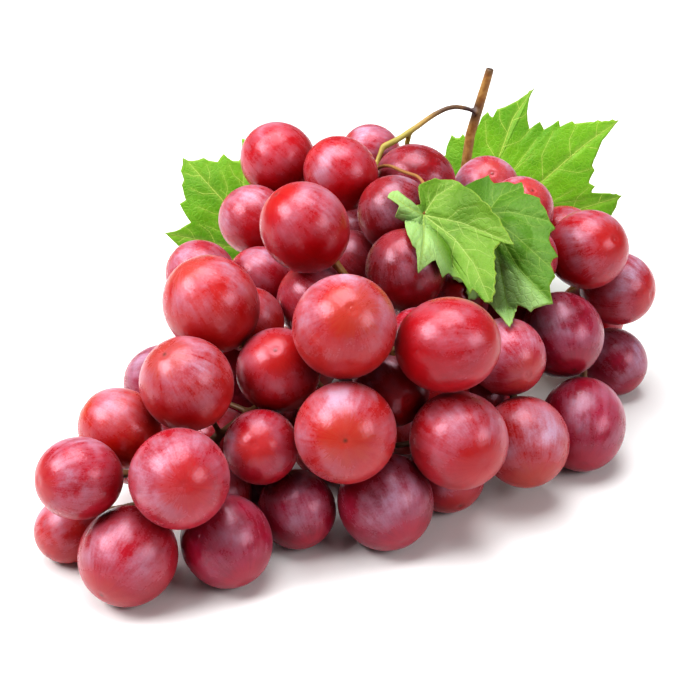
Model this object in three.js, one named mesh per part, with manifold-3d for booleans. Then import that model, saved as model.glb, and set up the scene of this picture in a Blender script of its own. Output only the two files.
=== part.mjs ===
// A bunch of large red grapes lying on a table, with its stem and four leaves.
// Millimetres; X along the bunch towards the stem end, Z up, the table at Z = 0.
import * as THREE from "three";
import { mergeVertices } from "three/addons/utils/BufferGeometryUtils.js";
import Module from "manifold-3d";

const wasm = await Module();
wasm.setup();

// The layout view: an eye above the table that looks down across the bunch.
// A place in it is u to the right, v downwards, and its distance along the line of sight.
const EYE_HEIGHT = 274;
const EYE_DOWN = THREE.MathUtils.degToRad(30);
const EYE_TURN = THREE.MathUtils.degToRad(36);
const EYE_FOCUS = 1653;
const VIEW_MIDDLE = 350;
const ORIGIN_FROM_EYE = { x: 261, y: 352 };

const NEAR_SIDES = 12;
const NEAR_BANDS = 7;
const FAR_SIDES = 10;
const FAR_BANDS = 5;
const BERRY_SWELL = 1.012; // corners stand out, so that the flats between them fall inside
const BERRY_GAP = 0.35;
const BERRY_SINK = 0.45; // a berry on the table is flattened by this much
const BERRY_LOW = 2; // a berry that hangs no higher than this sinks down onto the table
const BERRY_STRETCH = [1.02, 1.08]; // length over width
const PILE_DEPTH = { left: 425, perUnit: 0.14 };
const PILE_PRESS = 0.3;
const FAR_WIDTHS = [21, 25];
const FAR_REACH = [58, 26]; // from the main stalk, at the stem end and at the tip
const FAR_SEED = 14;
const FAR_NEAREST = 8;
const FAR_JITTER = 0.4; // of the step between two berries of a row
const FAR_TURN = 14; // degrees
const HIDING_SPOTS = 16;
const HIDING_RIM = 0.96; // where the rim of a far berry is tried
const HIDING = 1.12; // a berry hides this much more than its own disc
const FAR_SQUEEZE = 2; // overlap that settling takes away
const FAR_ROWS = [ // angle round the main stalk, 0 away from the eye and 90 up
  { angle: -30, from: 0, to: 1, count: 8 },
  { angle: 6, from: 0, to: 0.95, count: 7 },
  { angle: -95, from: 0.15, to: 0.85, count: 5 },
  { angle: 42, from: 0.05, to: 0.7, count: 4 },
];
const GAP_WIDTHS = [22, 13]; // tried from large to small
const GAP_SEED = 5;
const GAP_STEP = 7; // of the layout view, between the sight lines that look for gaps
const GAP_WITHIN = 1.4; // of a near berry's disc, around which a gap is still inside the bunch
const GAP_BESIDE = 3; // near berries round a gap, at least
const GAP_REACH = 1.9; // of two berries' widths, the farthest apart that join
const GAP_DEEPEST = 50; // behind the first berry that stands beside the gap
const SPRAY_BERRIES = 4; // far berries that grow into each other, at most
const SPRAY_SINK = 2.2; // how far two berries of a spray run into each other
const SPRAY_REACH = 1.5; // of two berries' widths, the farthest apart that join
const NEAR_SEED = 3;
const SETTLE_ROUNDS = 700;
const SETTLE_STEP = 0.52; // share of an overlap that each of two berries gives way
const SETTLE_ASIDE = 0.3; // share of a near berry's first moves that may show in view
const SETTLE_HOME = 0.05; // pull towards its first place, fading out
const SETTLE_FADE = 1.25; // the pull is gone after this share of the rounds, as 1 over it
const SETTLE_DEEP = 0.8; // share of the pull along the line of sight that a near berry ignores
const SETTLE_NEIGHBOUR = 40; // berries farther apart never touch
const TIP_LEAN = 0.35; // of a blossom end, towards the tip of the bunch
const STEM_END_TRIES = 160;
const STEM_END_TURN = { shown: 0.5, free: 2.2 };
const STEM_END_ROOM = { close: 2.2, before: 1.8 }; // wanted round a stem end and its stalk
const STEM_END_STAY = 1.5; // what keeping its first direction is worth

const STALK_GAP = 0.4;
const RACHIS_WIDTH = 4;
const PEDUNCLE_WIDTH = 2.9;
const PEDUNCLE_CUT = 0.86; // of its width, at the cut end
const PEDUNCLE_SHARE = 0.3; // of the main stalk's length
const PEDUNCLE_SWELL = 2;
const RACHIS_TAPER = 3;
const STALK_ROOM = { main: 0.7, wing: 0.9 }; // to the berries beside a stalk
const MAIN_POINTS = 19;
const MAIN_BEARS_FROM = 6;
const WING_FOOT = 2.4;
const WING_WIDTHS = [1.2, 2];
const WING_POINTS = 8;
const WING_ROUND = 3; // as many steps between two of its points
const WING_BEARS_FROM = 5;
const PETIOLE_POINTS = 9;
const PEDICEL_WIDTH = 1.6;
const PEDICEL_SWELL = [1.3, 1.05, 1, 1.15, 1.8]; // of its width, from its foot to the berry
const PEDICEL_APPROACH = 4;
const PEDICEL_CHOICES = 14;
const PEDICEL_POINTS = 4;
const BLOCKED_COST = 2.2;
const BLOCKED_ROOM = 1.2;
const SHARED_COST = 3;
const SUNK_COST = 200;
const SUNK_ROOM = { swell: 1.15, gap: 0.1 };
const PEDICEL_SIDES = 4;
const PEDICEL_LEAST = 4;
const MAIN_SIDES = 7;
const WING_SIDES = 6;
const BEND_ROUNDS = 160;
const BEND_SMOOTHING = 0.1;

const LEAF_THICKNESS = 0.8;
const LEAF_GAP = 1.3;
const LEAF_BEHIND = 8; // a leaf this far beyond a berry's middle passes behind the berry
const LEAF_OVER_GAP = 2.6; // between the front leaf and the one under it
const LEAF_WAVES = 5;
const LEAF_WAVE = 1.2;
const LEAF_RINGS = [0.22, 0.46, 0.72, 1];
const PETIOLE_WIDTH = 1.7;
const PETIOLE_BEADS = 30;

const TABLE = 600;
const TOUCHING = 0.01;
const SAME_CORNER = 1e-4;

const LOOKS = {
  berry: { colour: 0xa83a4c, roughness: 0.35 },
  farBerry: { colour: 0x963446, roughness: 0.35 },
  stem: { colour: 0x9a7440, roughness: 0.6 },
};
const LEAF_ROUGHNESS = 0.6;

const UP = new THREE.Vector3(0, 0, 1);
const VIEW_RIGHT = new THREE.Vector3(Math.cos(EYE_TURN), -Math.sin(EYE_TURN), 0);
const VIEW_AHEAD = new THREE.Vector3(Math.sin(EYE_TURN), Math.cos(EYE_TURN), 0);
const SIGHT = VIEW_AHEAD.clone().multiplyScalar(Math.cos(EYE_DOWN))
  .addScaledVector(UP, -Math.sin(EYE_DOWN));
const VIEW_UP = VIEW_AHEAD.clone().multiplyScalar(Math.sin(EYE_DOWN))
  .addScaledVector(UP, Math.cos(EYE_DOWN));
const EYE = new THREE.Vector3(-ORIGIN_FROM_EYE.x, -ORIGIN_FROM_EYE.y, EYE_HEIGHT);

function seededRandom(seed) {
  let state = seed;
  return () => {
    state = (state * 1664525 + 1013904223) >>> 0;
    return state / 4294967296;
  };
}

// The line of sight through (u, v), one millimetre deep.
function sightLine(u, v) {
  return SIGHT.clone()
    .addScaledVector(VIEW_RIGHT, (u - VIEW_MIDDLE) / EYE_FOCUS)
    .addScaledVector(VIEW_UP, (VIEW_MIDDLE - v) / EYE_FOCUS);
}

function atDepth({ u, v, depth }) {
  return EYE.clone().addScaledVector(sightLine(u, v), depth);
}

function atHeight({ u, v, up }) {
  const line = sightLine(u, v);
  return EYE.clone().addScaledVector(line, (up - EYE.z) / line.z);
}

function inView(point) {
  const from = point.clone().sub(EYE);
  const depth = from.dot(SIGHT);
  return {
    u: VIEW_MIDDLE + (EYE_FOCUS * from.dot(VIEW_RIGHT)) / depth,
    v: VIEW_MIDDLE - (EYE_FOCUS * from.dot(VIEW_UP)) / depth,
    depth,
  };
}

// Berries of the near side: width, height of the middle above the table, length over width
// and, where it shows, the way the blossom end faces (right, up, towards the eye).
const NEAR_BERRIES = [
  { u: 284, v: 162, width: 24, up: 66 },
  { u: 371, v: 153, width: 19.5, up: 55 },
  { u: 341, v: 177, width: 23, up: 65 },
  { u: 415, v: 180, width: 24, up: 58, stretch: 1.14, faces: [1, -0.2, 0.3] },
  { u: 305, v: 229, width: 25.5, up: 69.5 },
  { u: 255, v: 220, width: 22.4, up: 49 },
  { u: 388, v: 218, width: 23.4, up: 59 },
  { u: 485, v: 199, width: 22.5, up: 43 },
  { u: 203, v: 279, width: 20.8, up: 45 },
  { u: 262, v: 280, width: 20, up: 44 },
  { u: 215, v: 308, width: 26.5, up: 60 },
  { u: 312, v: 299, width: 23, up: 43 },
  { u: 347, v: 328, width: 27.2, up: 68.5 },
  { u: 405, v: 265, width: 23.5, up: 51.5 },
  { u: 454, v: 298, width: 21.5, up: 40 },
  { u: 444, v: 345, width: 25.4, up: 66, stretch: 1.12, faces: [1, 0.1, 0.3] },
  { u: 502, v: 360, width: 22, up: 38 },
  { u: 584, v: 250, width: 24, up: 57 },
  { u: 562, v: 240, width: 22, up: 45 },
  { u: 616, v: 287, width: 23, up: 33 },
  { u: 562, v: 342, width: 24.8, up: 33.5 },
  { u: 613, v: 361, width: 21.2, up: 10.5 },
  { u: 577, v: 425, width: 26.4, up: 14.4, stretch: 1.16, faces: [0.15, -0.9, 0.4] },
  { u: 523, v: 442, width: 25, up: 20 },
  { u: 455, v: 440, width: 25.6, up: 38.8, faces: [0.6, -0.5, 0.5] },
  { u: 275, v: 367, width: 23, up: 48.5 },
  { u: 185, v: 385, width: 24.8, up: 50 },
  { u: 345, v: 433, width: 26.4, up: 45, faces: [0, -0.1, 1] },
  { u: 122, v: 428, width: 22.2, up: 33 },
  { u: 262, v: 446, width: 20.4, up: 35, faces: [-0.1, 0.1, 1] },
  { u: 180, v: 484, width: 26, up: 34 },
  { u: 82, v: 483, width: 21.8, up: 32 },
  { u: 70, v: 528, width: 18.8, up: 9.4 },
  { u: 127, v: 555, width: 26, up: 13 },
  { u: 223, v: 536, width: 24.6, up: 12.2 },
  { u: 302, v: 507, width: 21.4, up: 10.6 },
  { u: 384, v: 498, width: 26.4, up: 13 },
  { u: 449, v: 475, width: 22, up: 11 },
  { u: 212, v: 434, width: 20, up: 25 },
  { u: 512, v: 214, width: 21, up: 48 },
  { u: 395, v: 385, width: 21.5, up: 43 },
  { u: 355, v: 262, width: 21.5, up: 45 },
  { u: 468, v: 238, width: 22, up: 48 },
  { u: 520, v: 262, width: 23, up: 46 },
  { u: 510, v: 302, width: 22, up: 34 },
];

// The main stalk, from the foot of the cut stem down through the core to the tip.
const PEDUNCLE_TOP = { u: 490, v: 69, depth: 524 };
const PEDUNCLE_FOOT = { u: 465, v: 168, depth: 540 };
const RACHIS = [[58, 16, 42], [44, 0, 36], [14, -10, 33], [-22, -14, 31], [-56, -20, 28],
  [-88, -26, 22]].map((point) => new THREE.Vector3(...point));

const WING = [
  { u: 478, v: 113, depth: 530 },
  { u: 468, v: 109, depth: 530 },
  { u: 453, v: 107, depth: 528 },
  { u: 437, v: 113, depth: 526.5 },
  { u: 415, v: 128, depth: 524 },
  { u: 400, v: 138, depth: 522 },
  { u: 383, v: 147, depth: 520 },
].map(atDepth);

// Leaf outlines in the layout view, clockwise from one side of the notch at the petiole.
// slope is the depth gained per unit to the right and per unit downwards.
const LEAVES = [
  {
    name: "leaf_left", colour: 0x6cae2c,
    joint: { u: 278, v: 258 }, depth: 538, slope: [0.02, 0.1], cup: 0.0006,
    edge: [[268, 272], [240, 294], [224, 282], [198, 286], [201, 264], [184, 251], [178, 245],
      [165, 233], [180, 229], [191, 223], [179, 212], [180, 204], [182, 186], [181, 172],
      [183, 158], [204, 158], [213, 160], [224, 154], [238, 161], [242, 138], [250, 142],
      [264, 133], [270, 150], [286, 142], [292, 162], [312, 160], [300, 183], [310, 196],
      [299, 212], [305, 234], [293, 246], [286, 268]],
    petiole: [{ u: 292, v: 290, depth: 518 }, { u: 318, v: 345, depth: 492 }],
    stalk: "main",
  },
  {
    name: "leaf_back", colour: 0x7cbc34,
    joint: { u: 468, v: 226 }, depth: 566, slope: [-0.1, 0.08], cup: 0.0006,
    edge: [[456, 246], [434, 258], [428, 238], [412, 230], [424, 213], [410, 192], [427, 182],
      [424, 160], [434, 148], [444, 142], [453, 135], [463, 140], [470, 124], [488, 112],
      [494, 113], [500, 108], [517, 101], [533, 89], [529, 104], [529, 128], [540, 122],
      [548, 126], [559, 120], [566, 125], [573, 122], [591, 122], [619, 121], [612, 133],
      [601, 140], [595, 152], [600, 159], [594, 168], [599, 178], [595, 186], [622, 196],
      [610, 203], [615, 209], [606, 214], [613, 223], [598, 238], [590, 258], [570, 256],
      [548, 270], [538, 256], [512, 272], [502, 254], [484, 250]],
    petiole: [{ u: 470, v: 205, depth: 562 }],
    stalk: "main",
  },
  {
    name: "leaf_front", colour: 0xa4cc5c, over: "leaf_under",
    joint: { u: 423.5, v: 215 }, depth: 479, slope: [-0.1, -0.08], cup: -0.0006,
    edge: [[421, 203], [418, 187], [425, 182], [435, 178], [446, 180], [454, 179], [464, 187],
      [474, 190], [483, 198], [491, 203], [493, 211], [501, 219], [504, 230], [514, 245],
      [502, 244], [495, 250], [497, 275], [492, 303], [485, 305], [477, 293], [470, 296],
      [464, 287], [456, 281], [448, 273], [441, 277], [435, 260], [428, 263], [418, 273],
      [417, 258], [412, 246], [406, 234], [400, 229], [405, 221], [395, 217], [398, 206],
      [387, 197], [392, 192], [405, 197], [415, 205]],
    petiole: [{ u: 421, v: 186, depth: 481 }, { u: 409, v: 180, depth: 488 },
      { u: 398, v: 171, depth: 496 }, { u: 388, v: 160, depth: 507 }],
    stalk: "wing",
  },
  {
    name: "leaf_under", colour: 0x4c9430,
    joint: { u: 486, v: 214 }, depth: 487, slope: [-0.2, -0.19], cup: 0.0009,
    edge: [[476, 207], [465, 187], [476, 179], [489, 175], [494, 183], [507, 181], [522, 182],
      [525, 193], [533, 193], [542, 198], [543, 206], [550, 212], [558, 229], [550, 238],
      [558, 257], [552, 261], [556, 277], [550, 285], [553, 304], [534, 302], [531, 312],
      [518, 305], [510, 327], [500, 316], [493, 307], [480, 298], [468, 300], [466, 284],
      [452, 280], [456, 264], [448, 252], [460, 242], [456, 228], [471, 224]],
    petiole: [{ u: 479, v: 196, depth: 512 }],
    stalk: "main",
  },
];

// Presses the pile together along the line of sight; a berry keeps its place and size in view.
function pressed(row) {
  const middle = atHeight(row);
  const lies = row.up < row.width / 2 + 1;
  const { depth } = inView(middle);
  const core = PILE_DEPTH.left + PILE_DEPTH.perUnit * row.u;
  const moved = lies ? depth : depth + PILE_PRESS * (core - depth);
  return { middle: atDepth({ ...row, depth: moved }), width: (row.width * moved) / depth };
}

function makeBerry(row, random) {
  const between = ([low, high]) => low + (high - low) * random();
  const stretch = row.stretch ?? between(BERRY_STRETCH);
  const { middle, width } = row.middle ? row : pressed(row);
  const berry = {
    middle,
    half: width / 2 / Math.sqrt(stretch),
    long: (width / 2) * Math.sqrt(stretch),
    axis: null,
    near: row.u !== undefined,
    turn: row.faces ? STEM_END_TURN.shown : STEM_END_TURN.free,
  };
  berry.home = berry.middle.clone();
  if (row.faces) {
    const [right, up, towards] = row.faces;
    berry.axis = new THREE.Vector3().addScaledVector(VIEW_RIGHT, right)
      .addScaledVector(VIEW_UP, up).addScaledVector(SIGHT, -towards).normalize();
  }
  return berry;
}

// How far a berry reaches from its middle in a direction.
function reach(berry, direction) {
  const part = berry.axis.dot(direction);
  return BERRY_SWELL * Math.sqrt(
    berry.half ** 2 + (berry.long ** 2 - berry.half ** 2) * part ** 2);
}

function nearestOnPath(point, path) {
  const line = new THREE.Line3();
  const best = { distance: Infinity, point: null };
  const found = new THREE.Vector3();
  for (let i = 1; i < path.length; i += 1) {
    line.set(path[i - 1], path[i]).closestPointToPoint(point, true, found);
    const distance = found.distanceTo(point);
    if (distance < best.distance) {
      best.distance = distance;
      best.point = found.clone();
    }
  }
  return best;
}

function spaced(path, count) {
  return new THREE.CatmullRomCurve3(path).getSpacedPoints(count - 1);
}

const mainStalk = spaced([atDepth(PEDUNCLE_TOP), atDepth(PEDUNCLE_FOOT), ...RACHIS],
  MAIN_POINTS);
const wingStalk = spaced(WING, WING_POINTS);
const keepClear = [
  { path: mainStalk, room: RACHIS_WIDTH / 2 + STALK_ROOM.main },
  { path: wingStalk, room: PEDICEL_WIDTH / 2 + STALK_ROOM.wing },
];
const keepFarClear = LEAVES.filter(({ stalk }) => stalk === "main").map(({ petiole }) => {
  const route = petiole.map(atDepth);
  return {
    path: [...route, nearestOnPath(route.at(-1), mainStalk.slice(3)).point],
    room: PETIOLE_WIDTH / 2 + 2 * STALK_GAP,
  };
});

// Blossom ends face away from the main stalk and a little towards the tip.
function faceOutwards(berry) {
  const from = nearestOnPath(berry.middle, mainStalk.slice(4)).point;
  berry.axis = berry.middle.clone().sub(from).normalize()
    .add(new THREE.Vector3(-TIP_LEAN, 0, 0)).normalize();
}

function stemEnd(berry, gap) {
  return berry.middle.clone().addScaledVector(berry.axis, -(berry.long * BERRY_SWELL + gap));
}

// Turns a berry a little, until its stem end lies in a hollow between its neighbours.
function freeStemEnd(berry, all, random) {
  const first = berry.axis.clone();
  let best = { score: -Infinity, axis: first };
  for (let i = 0; i < STEM_END_TRIES; i += 1) {
    const lean = new THREE.Vector3(random() - 0.5, random() - 0.5, random() - 0.5);
    berry.axis = first.clone().addScaledVector(lean, i === 0 ? 0 : berry.turn).normalize();
    const room = (gap, wanted) => {
      const place = stemEnd(berry, gap);
      const free = all.map((other) => (other === berry
        ? Infinity : place.distanceTo(other.middle) - other.half * BERRY_SWELL));
      return Math.min(wanted, place.z - 1, ...free);
    };
    const score = room(1, STEM_END_ROOM.close) + room(PEDICEL_APPROACH, STEM_END_ROOM.before)
      + STEM_END_STAY * berry.axis.dot(first);
    if (score > best.score) best = { score, axis: berry.axis };
  }
  berry.axis = best.axis;
}

// Pushes berries apart, off the stalks and onto the table; near ones keep their place in view.
function settle(berries) {
  const push = new THREE.Vector3();
  const move = (berry, by, pull) => {
    push.copy(by);
    if (berry.near || berry.held) {
      const line = berry.middle.clone().sub(EYE).normalize();
      const deep = push.dot(line);
      push.addScaledVector(line, -deep).multiplyScalar(pull).addScaledVector(line, deep);
    }
    berry.middle.add(push);
  };
  for (let round = 0; round < SETTLE_ROUNDS; round += 1) {
    const late = round / SETTLE_ROUNDS;
    const aside = SETTLE_ASIDE + (1 - SETTLE_ASIDE) * late;
    for (const berry of berries) {
      const line = berry.middle.clone().sub(EYE).normalize();
      const back = berry.home.clone().sub(berry.middle);
      const deep = back.dot(line);
      const home = SETTLE_HOME * Math.max(0, 1 - SETTLE_FADE * late);
      if (berry.near) back.addScaledVector(line, -SETTLE_DEEP * deep);
      berry.middle.addScaledVector(back, home);
      const paths = berry.near ? keepClear : [...keepClear, ...keepFarClear];
      for (const { path, room } of paths) {
        const { point, distance } = nearestOnPath(berry.middle, path);
        const out = berry.middle.clone().sub(point).divideScalar(distance || 1);
        const short = reach(berry, out) + room - distance;
        if (short > 0) move(berry, out.multiplyScalar(short), aside);
      }
    }
    for (let i = 0; i < berries.length; i += 1) {
      for (let j = i + 1; j < berries.length; j += 1) {
        const apart = berries[j].middle.clone().sub(berries[i].middle);
        const distance = apart.length();
        if (distance > SETTLE_NEIGHBOUR) continue;
        apart.divideScalar(distance || 1);
        const tied = berries[j].tied === berries[i] || berries[i].tied === berries[j];
        const gap = tied ? -SPRAY_SINK : BERRY_GAP;
        const need = reach(berries[i], apart) + reach(berries[j], apart) + gap;
        const short = (need - distance) * SETTLE_STEP;
        if (short <= 0 && !tied) continue;
        move(berries[j], apart.clone().multiplyScalar(short), aside);
        move(berries[i], apart.clone().multiplyScalar(-short), aside);
      }
    }
    for (const berry of berries) {
      const lowest = reach(berry, UP) - BERRY_SINK;
      if (berry.middle.z < lowest + BERRY_LOW) berry.middle.z = lowest;
    }
  }
}

function overlapOf(a, b) {
  const apart = b.middle.clone().sub(a.middle);
  const distance = apart.length();
  apart.divideScalar(distance);
  return reach(a, apart) + reach(b, apart) - distance;
}

// Is a berry hidden from the layout view by berries that lie in front of it?
function hidden(berry, others, grow = HIDING) {
  const middle = inView(berry.middle);
  const radius = (berry.half * EYE_FOCUS) / middle.depth;
  for (let i = 0; i <= HIDING_SPOTS; i += 1) {
    const angle = (i / HIDING_SPOTS) * 2 * Math.PI;
    const size = i === 0 ? 0 : HIDING_RIM * radius;
    const u = middle.u + size * Math.cos(angle);
    const v = middle.v + size * Math.sin(angle);
    const covered = others.some((other) => {
      const place = inView(other.middle);
      const cover = (grow * other.half * EYE_FOCUS) / place.depth;
      return place.depth < middle.depth && Math.hypot(u - place.u, v - place.v) < cover;
    });
    if (!covered) return false;
  }
  return true;
}

// Berries of the far side and the underside: rows along the bunch, each berry slid in from
// outside until it no longer shows beyond the near ones.
function farBerries(near, sprays) {
  const random = seededRandom(FAR_SEED);
  const berries = [...near];
  const curve = new THREE.CatmullRomCurve3([...RACHIS]);
  for (const row of FAR_ROWS) {
    let last = null;
    for (let i = 0; i < row.count; i += 1) {
      const share = row.from + ((row.to - row.from) * (i + FAR_JITTER * random())) / row.count;
      const width = FAR_WIDTHS[0] + (FAR_WIDTHS[1] - FAR_WIDTHS[0]) * random();
      const centre = curve.getPointAt(share);
      const aim = THREE.MathUtils.degToRad(row.angle + FAR_TURN * (random() - 0.5));
      const farthest = FAR_REACH[0] + (FAR_REACH[1] - FAR_REACH[0]) * share;
      for (let out = farthest; out > FAR_NEAREST; out -= 1) {
        const middle = centre.clone().add(
          new THREE.Vector3(0, Math.cos(aim) * out, Math.sin(aim) * out));
        middle.z = Math.max(middle.z, width / 2 - BERRY_SINK);
        const berry = makeBerry({ middle, width }, random);
        faceOutwards(berry);
        const free = berries.every((other) => overlapOf(berry, other) < FAR_SQUEEZE);
        if (free && hidden(berry, berries)) {
          berries.push(berry);
          last = joinSpray(berry, last, sprays);
          break;
        }
      }
    }
  }
  return berries;
}

function withinDisc(u, v, berry, grow) {
  const place = inView(berry.middle);
  return Math.hypot(u - place.u, v - place.v) < (grow * berry.half * EYE_FOCUS) / place.depth;
}

// Berries inside the bunch, one wherever the layout view would look through it.
function gapBerries(outer, sprays) {
  const random = seededRandom(GAP_SEED);
  const berries = [...outer];
  const near = outer.filter((berry) => berry.near);
  for (let v = 0; v < 2 * VIEW_MIDDLE; v += GAP_STEP) {
    for (let u = 0; u < 2 * VIEW_MIDDLE; u += GAP_STEP) {
      if (berries.some((berry) => withinDisc(u, v, berry, 1))) continue;
      if (near.filter((berry) => withinDisc(u, v, berry, GAP_WITHIN)).length
        < GAP_BESIDE) continue;
      const found = gapBerry(u, v, berries, near, random);
      if (!found) continue;
      const far = berries.filter((berry) => !berry.near);
      joinSpray(found, nearestTo(found, far), sprays, GAP_REACH);
      berries.push(found);
    }
  }
  return berries;
}

function nearestTo(berry, others) {
  return [...others].sort((a, b) => a.middle.distanceTo(berry.middle)
    - b.middle.distanceTo(berry.middle))[0];
}

function gapBerry(u, v, berries, near, random) {
  const beside = near.filter((berry) => withinDisc(u, v, berry, GAP_WITHIN));
  const first = Math.min(...beside.map((berry) => inView(berry.middle).depth));
  for (let width = GAP_WIDTHS[0]; width >= GAP_WIDTHS[1]; width -= 1) {
    for (let depth = first; depth < first + GAP_DEEPEST; depth += 1) {
      const middle = atDepth({ u, v, depth });
      if (middle.z < width / 2 - BERRY_SINK) break;
      const berry = makeBerry({ middle, width }, random);
      faceOutwards(berry);
      const free = berries.every((other) => overlapOf(berry, other) < FAR_SQUEEZE)
        && [...keepClear, ...keepFarClear].every(({ path, room }) => (
          nearestOnPath(middle, path).distance > berry.half + room));
      berry.held = true;
      if (free && hidden(berry, near, GAP_WITHIN)) return berry;
    }
  }
  return null;
}

// Puts a far berry into the spray of the one before it, or begins the next spray.
function joinSpray(berry, last, sprays, farthest = SPRAY_REACH) {
  const close = last && berry.middle.distanceTo(last.middle)
    < farthest * (berry.half + last.half);
  if (close && sprays[last.spray].length < SPRAY_BERRIES) berry.spray = last.spray;
  else berry.spray = sprays.push([]) - 1;
  berry.tied = close && sprays[berry.spray].length > 0 ? last : undefined;
  sprays[berry.spray].push(berry);
  return berry;
}

// Ties each far berry that is still alone to its nearest neighbour among them.
function tieLoose(berries) {
  const far = berries.filter((berry) => !berry.near);
  for (const berry of far) {
    const alone = !berry.tied && !far.some((other) => other.tied === berry);
    if (alone) berry.tied = nearestTo(berry, far.filter((other) => other !== berry));
  }
}

function placeBerries() {
  const random = seededRandom(NEAR_SEED);
  const near = NEAR_BERRIES.map((row) => makeBerry(row, random));
  for (const berry of near) {
    if (!berry.axis) faceOutwards(berry);
  }
  settle(near);
  const sprays = [];
  const all = gapBerries(farBerries(near, sprays), sprays);
  tieLoose(all);
  settle(all);
  for (const berry of all) freeStemEnd(berry, all, random);
  settle(all);
  return all;
}

const berries = placeBerries();

// Egg-shaped lathe solid, a point at each end of its length.
function berryGeometry(berry) {
  const bands = berry.near ? NEAR_BANDS : FAR_BANDS;
  const profile = [];
  for (let i = 0; i <= bands; i += 1) {
    const angle = (i / bands) * Math.PI;
    const x = i === 0 || i === bands ? 0 : Math.sin(angle) * berry.half * BERRY_SWELL;
    profile.push(new THREE.Vector2(x, -Math.cos(angle) * berry.long * BERRY_SWELL));
  }
  const geometry = new THREE.LatheGeometry(profile, berry.near ? NEAR_SIDES : FAR_SIDES);
  const turn = new THREE.Quaternion().setFromUnitVectors(
    new THREE.Vector3(0, 1, 0), berry.axis);
  geometry.applyQuaternion(turn);
  geometry.translate(berry.middle.x, berry.middle.y, berry.middle.z);
  return geometry;
}

function toManifold(geometry) {
  const bare = geometry.clone();
  bare.deleteAttribute("normal");
  bare.deleteAttribute("uv");
  const merged = mergeVertices(bare, SAME_CORNER);
  return new wasm.Manifold(new wasm.Mesh({
    numProp: 3,
    vertProperties: new Float32Array(merged.attributes.position.array),
    triVerts: new Uint32Array(merged.index.array),
  }));
}

function fromManifold(solid) {
  const mesh = solid.getMesh();
  const geometry = new THREE.BufferGeometry();
  geometry.setAttribute("position", new THREE.BufferAttribute(mesh.vertProperties, 3));
  geometry.setIndex(new THREE.BufferAttribute(mesh.triVerts, 1));
  return geometry;
}

// A closed round stalk through points, with a width at each of them; its end may be cut square
// to a given direction.
function stalkGeometry(points, widths, sides, endDirection = null) {
  const frames = [];
  const tangent = new THREE.Vector3();
  const across = new THREE.Vector3(0.31, 0.17, 0.94);
  points.forEach((point, i) => {
    const before = points[Math.max(0, i - 1)];
    const after = points[Math.min(points.length - 1, i + 1)];
    tangent.copy(after).sub(before).normalize();
    if (endDirection && i === points.length - 1) tangent.copy(endDirection);
    across.addScaledVector(tangent, -across.dot(tangent)).normalize();
    frames.push({ a: across.clone(), b: tangent.clone().cross(across) });
  });
  const positions = [];
  const index = [];
  points.forEach((point, i) => {
    for (let k = 0; k < sides; k += 1) {
      const angle = (k / sides) * 2 * Math.PI;
      const corner = point.clone()
        .addScaledVector(frames[i].a, (Math.cos(angle) * widths[i]) / 2)
        .addScaledVector(frames[i].b, (Math.sin(angle) * widths[i]) / 2);
      positions.push(...corner.toArray());
    }
  });
  for (let i = 1; i < points.length; i += 1) {
    for (let k = 0; k < sides; k += 1) {
      const next = (k + 1) % sides;
      const low = (i - 1) * sides;
      index.push(low + k, low + next, low + sides + next, low + k, low + sides + next,
        low + sides + k);
    }
  }
  const last = (points.length - 1) * sides;
  for (let k = 2; k < sides; k += 1) {
    index.push(0, k, k - 1, last, last + k - 1, last + k);
  }
  const geometry = new THREE.BufferGeometry();
  geometry.setAttribute("position", new THREE.Float32BufferAttribute(positions, 3));
  geometry.setIndex(index);
  return geometry;
}

// Bends a path clear of the berries, its two ends held where they are.
function bendClear(points, width, skip, around = berries) {
  const line = new THREE.Line3();
  const found = new THREE.Vector3();
  for (let round = 0; round < BEND_ROUNDS; round += 1) {
    for (let i = 1; i < points.length; i += 1) {
      line.set(points[i - 1], points[i]);
      for (const berry of around) {
        if (berry === skip && i === points.length - 1) continue;
        const share = line.closestPointToPointParameter(berry.middle, true);
        const out = line.at(share, found).sub(berry.middle);
        const distance = out.length();
        out.divideScalar(distance || 1);
        const short = reach(berry, out) + width / 2 + STALK_GAP - distance;
        if (short <= 0) continue;
        if (i - 1 > 0) points[i - 1].addScaledVector(out, short * (1 - share));
        if (i < points.length - 1) points[i].addScaledVector(out, short * share);
      }
    }
    for (let i = 1; i < points.length - 1; i += 1) {
      const between = points[i - 1].clone().add(points[i + 1]).multiplyScalar(0.5);
      points[i].lerp(between, BEND_SMOOTHING * (1 - round / BEND_ROUNDS));
      points[i].z = Math.max(points[i].z, width);
    }
  }
  return points;
}

// How deep a stalk still runs inside berries, summed over its length.
function sunkInBerries(points, width, skip) {
  const line = new THREE.Line3();
  const found = new THREE.Vector3();
  let sum = 0;
  for (let i = 1; i < points.length; i += 1) {
    line.set(points[i - 1], points[i]);
    for (const berry of obstacles) {
      if (berry === skip && i === points.length - 1) continue;
      line.closestPointToPoint(berry.middle, true, found);
      const out = found.clone().sub(berry.middle);
      const distance = out.length();
      out.divideScalar(distance || 1);
      const room = reach(berry, out) + (width * SUNK_ROOM.swell) / 2 + SUNK_ROOM.gap;
      sum += Math.max(0, room - distance);
    }
  }
  return sum;
}

const mainWidths = mainStalk.map((point, i) => {
  const t = i / (mainStalk.length - 1);
  if (i === 0) return PEDUNCLE_WIDTH * PEDUNCLE_CUT;
  return t < PEDUNCLE_SHARE
    ? PEDUNCLE_WIDTH + t * PEDUNCLE_SWELL
    : RACHIS_WIDTH - (t - PEDUNCLE_SHARE) * RACHIS_TAPER;
});
const wingRound = spaced(WING, (WING_POINTS - 1) * WING_ROUND + 1);
const wingWidths = wingRound.map((point, i) => {
  const t = i / (wingRound.length - 1);
  return i === 0 ? WING_FOOT : WING_WIDTHS[0] + (WING_WIDTHS[1] - WING_WIDTHS[0]) * t;
});

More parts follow.
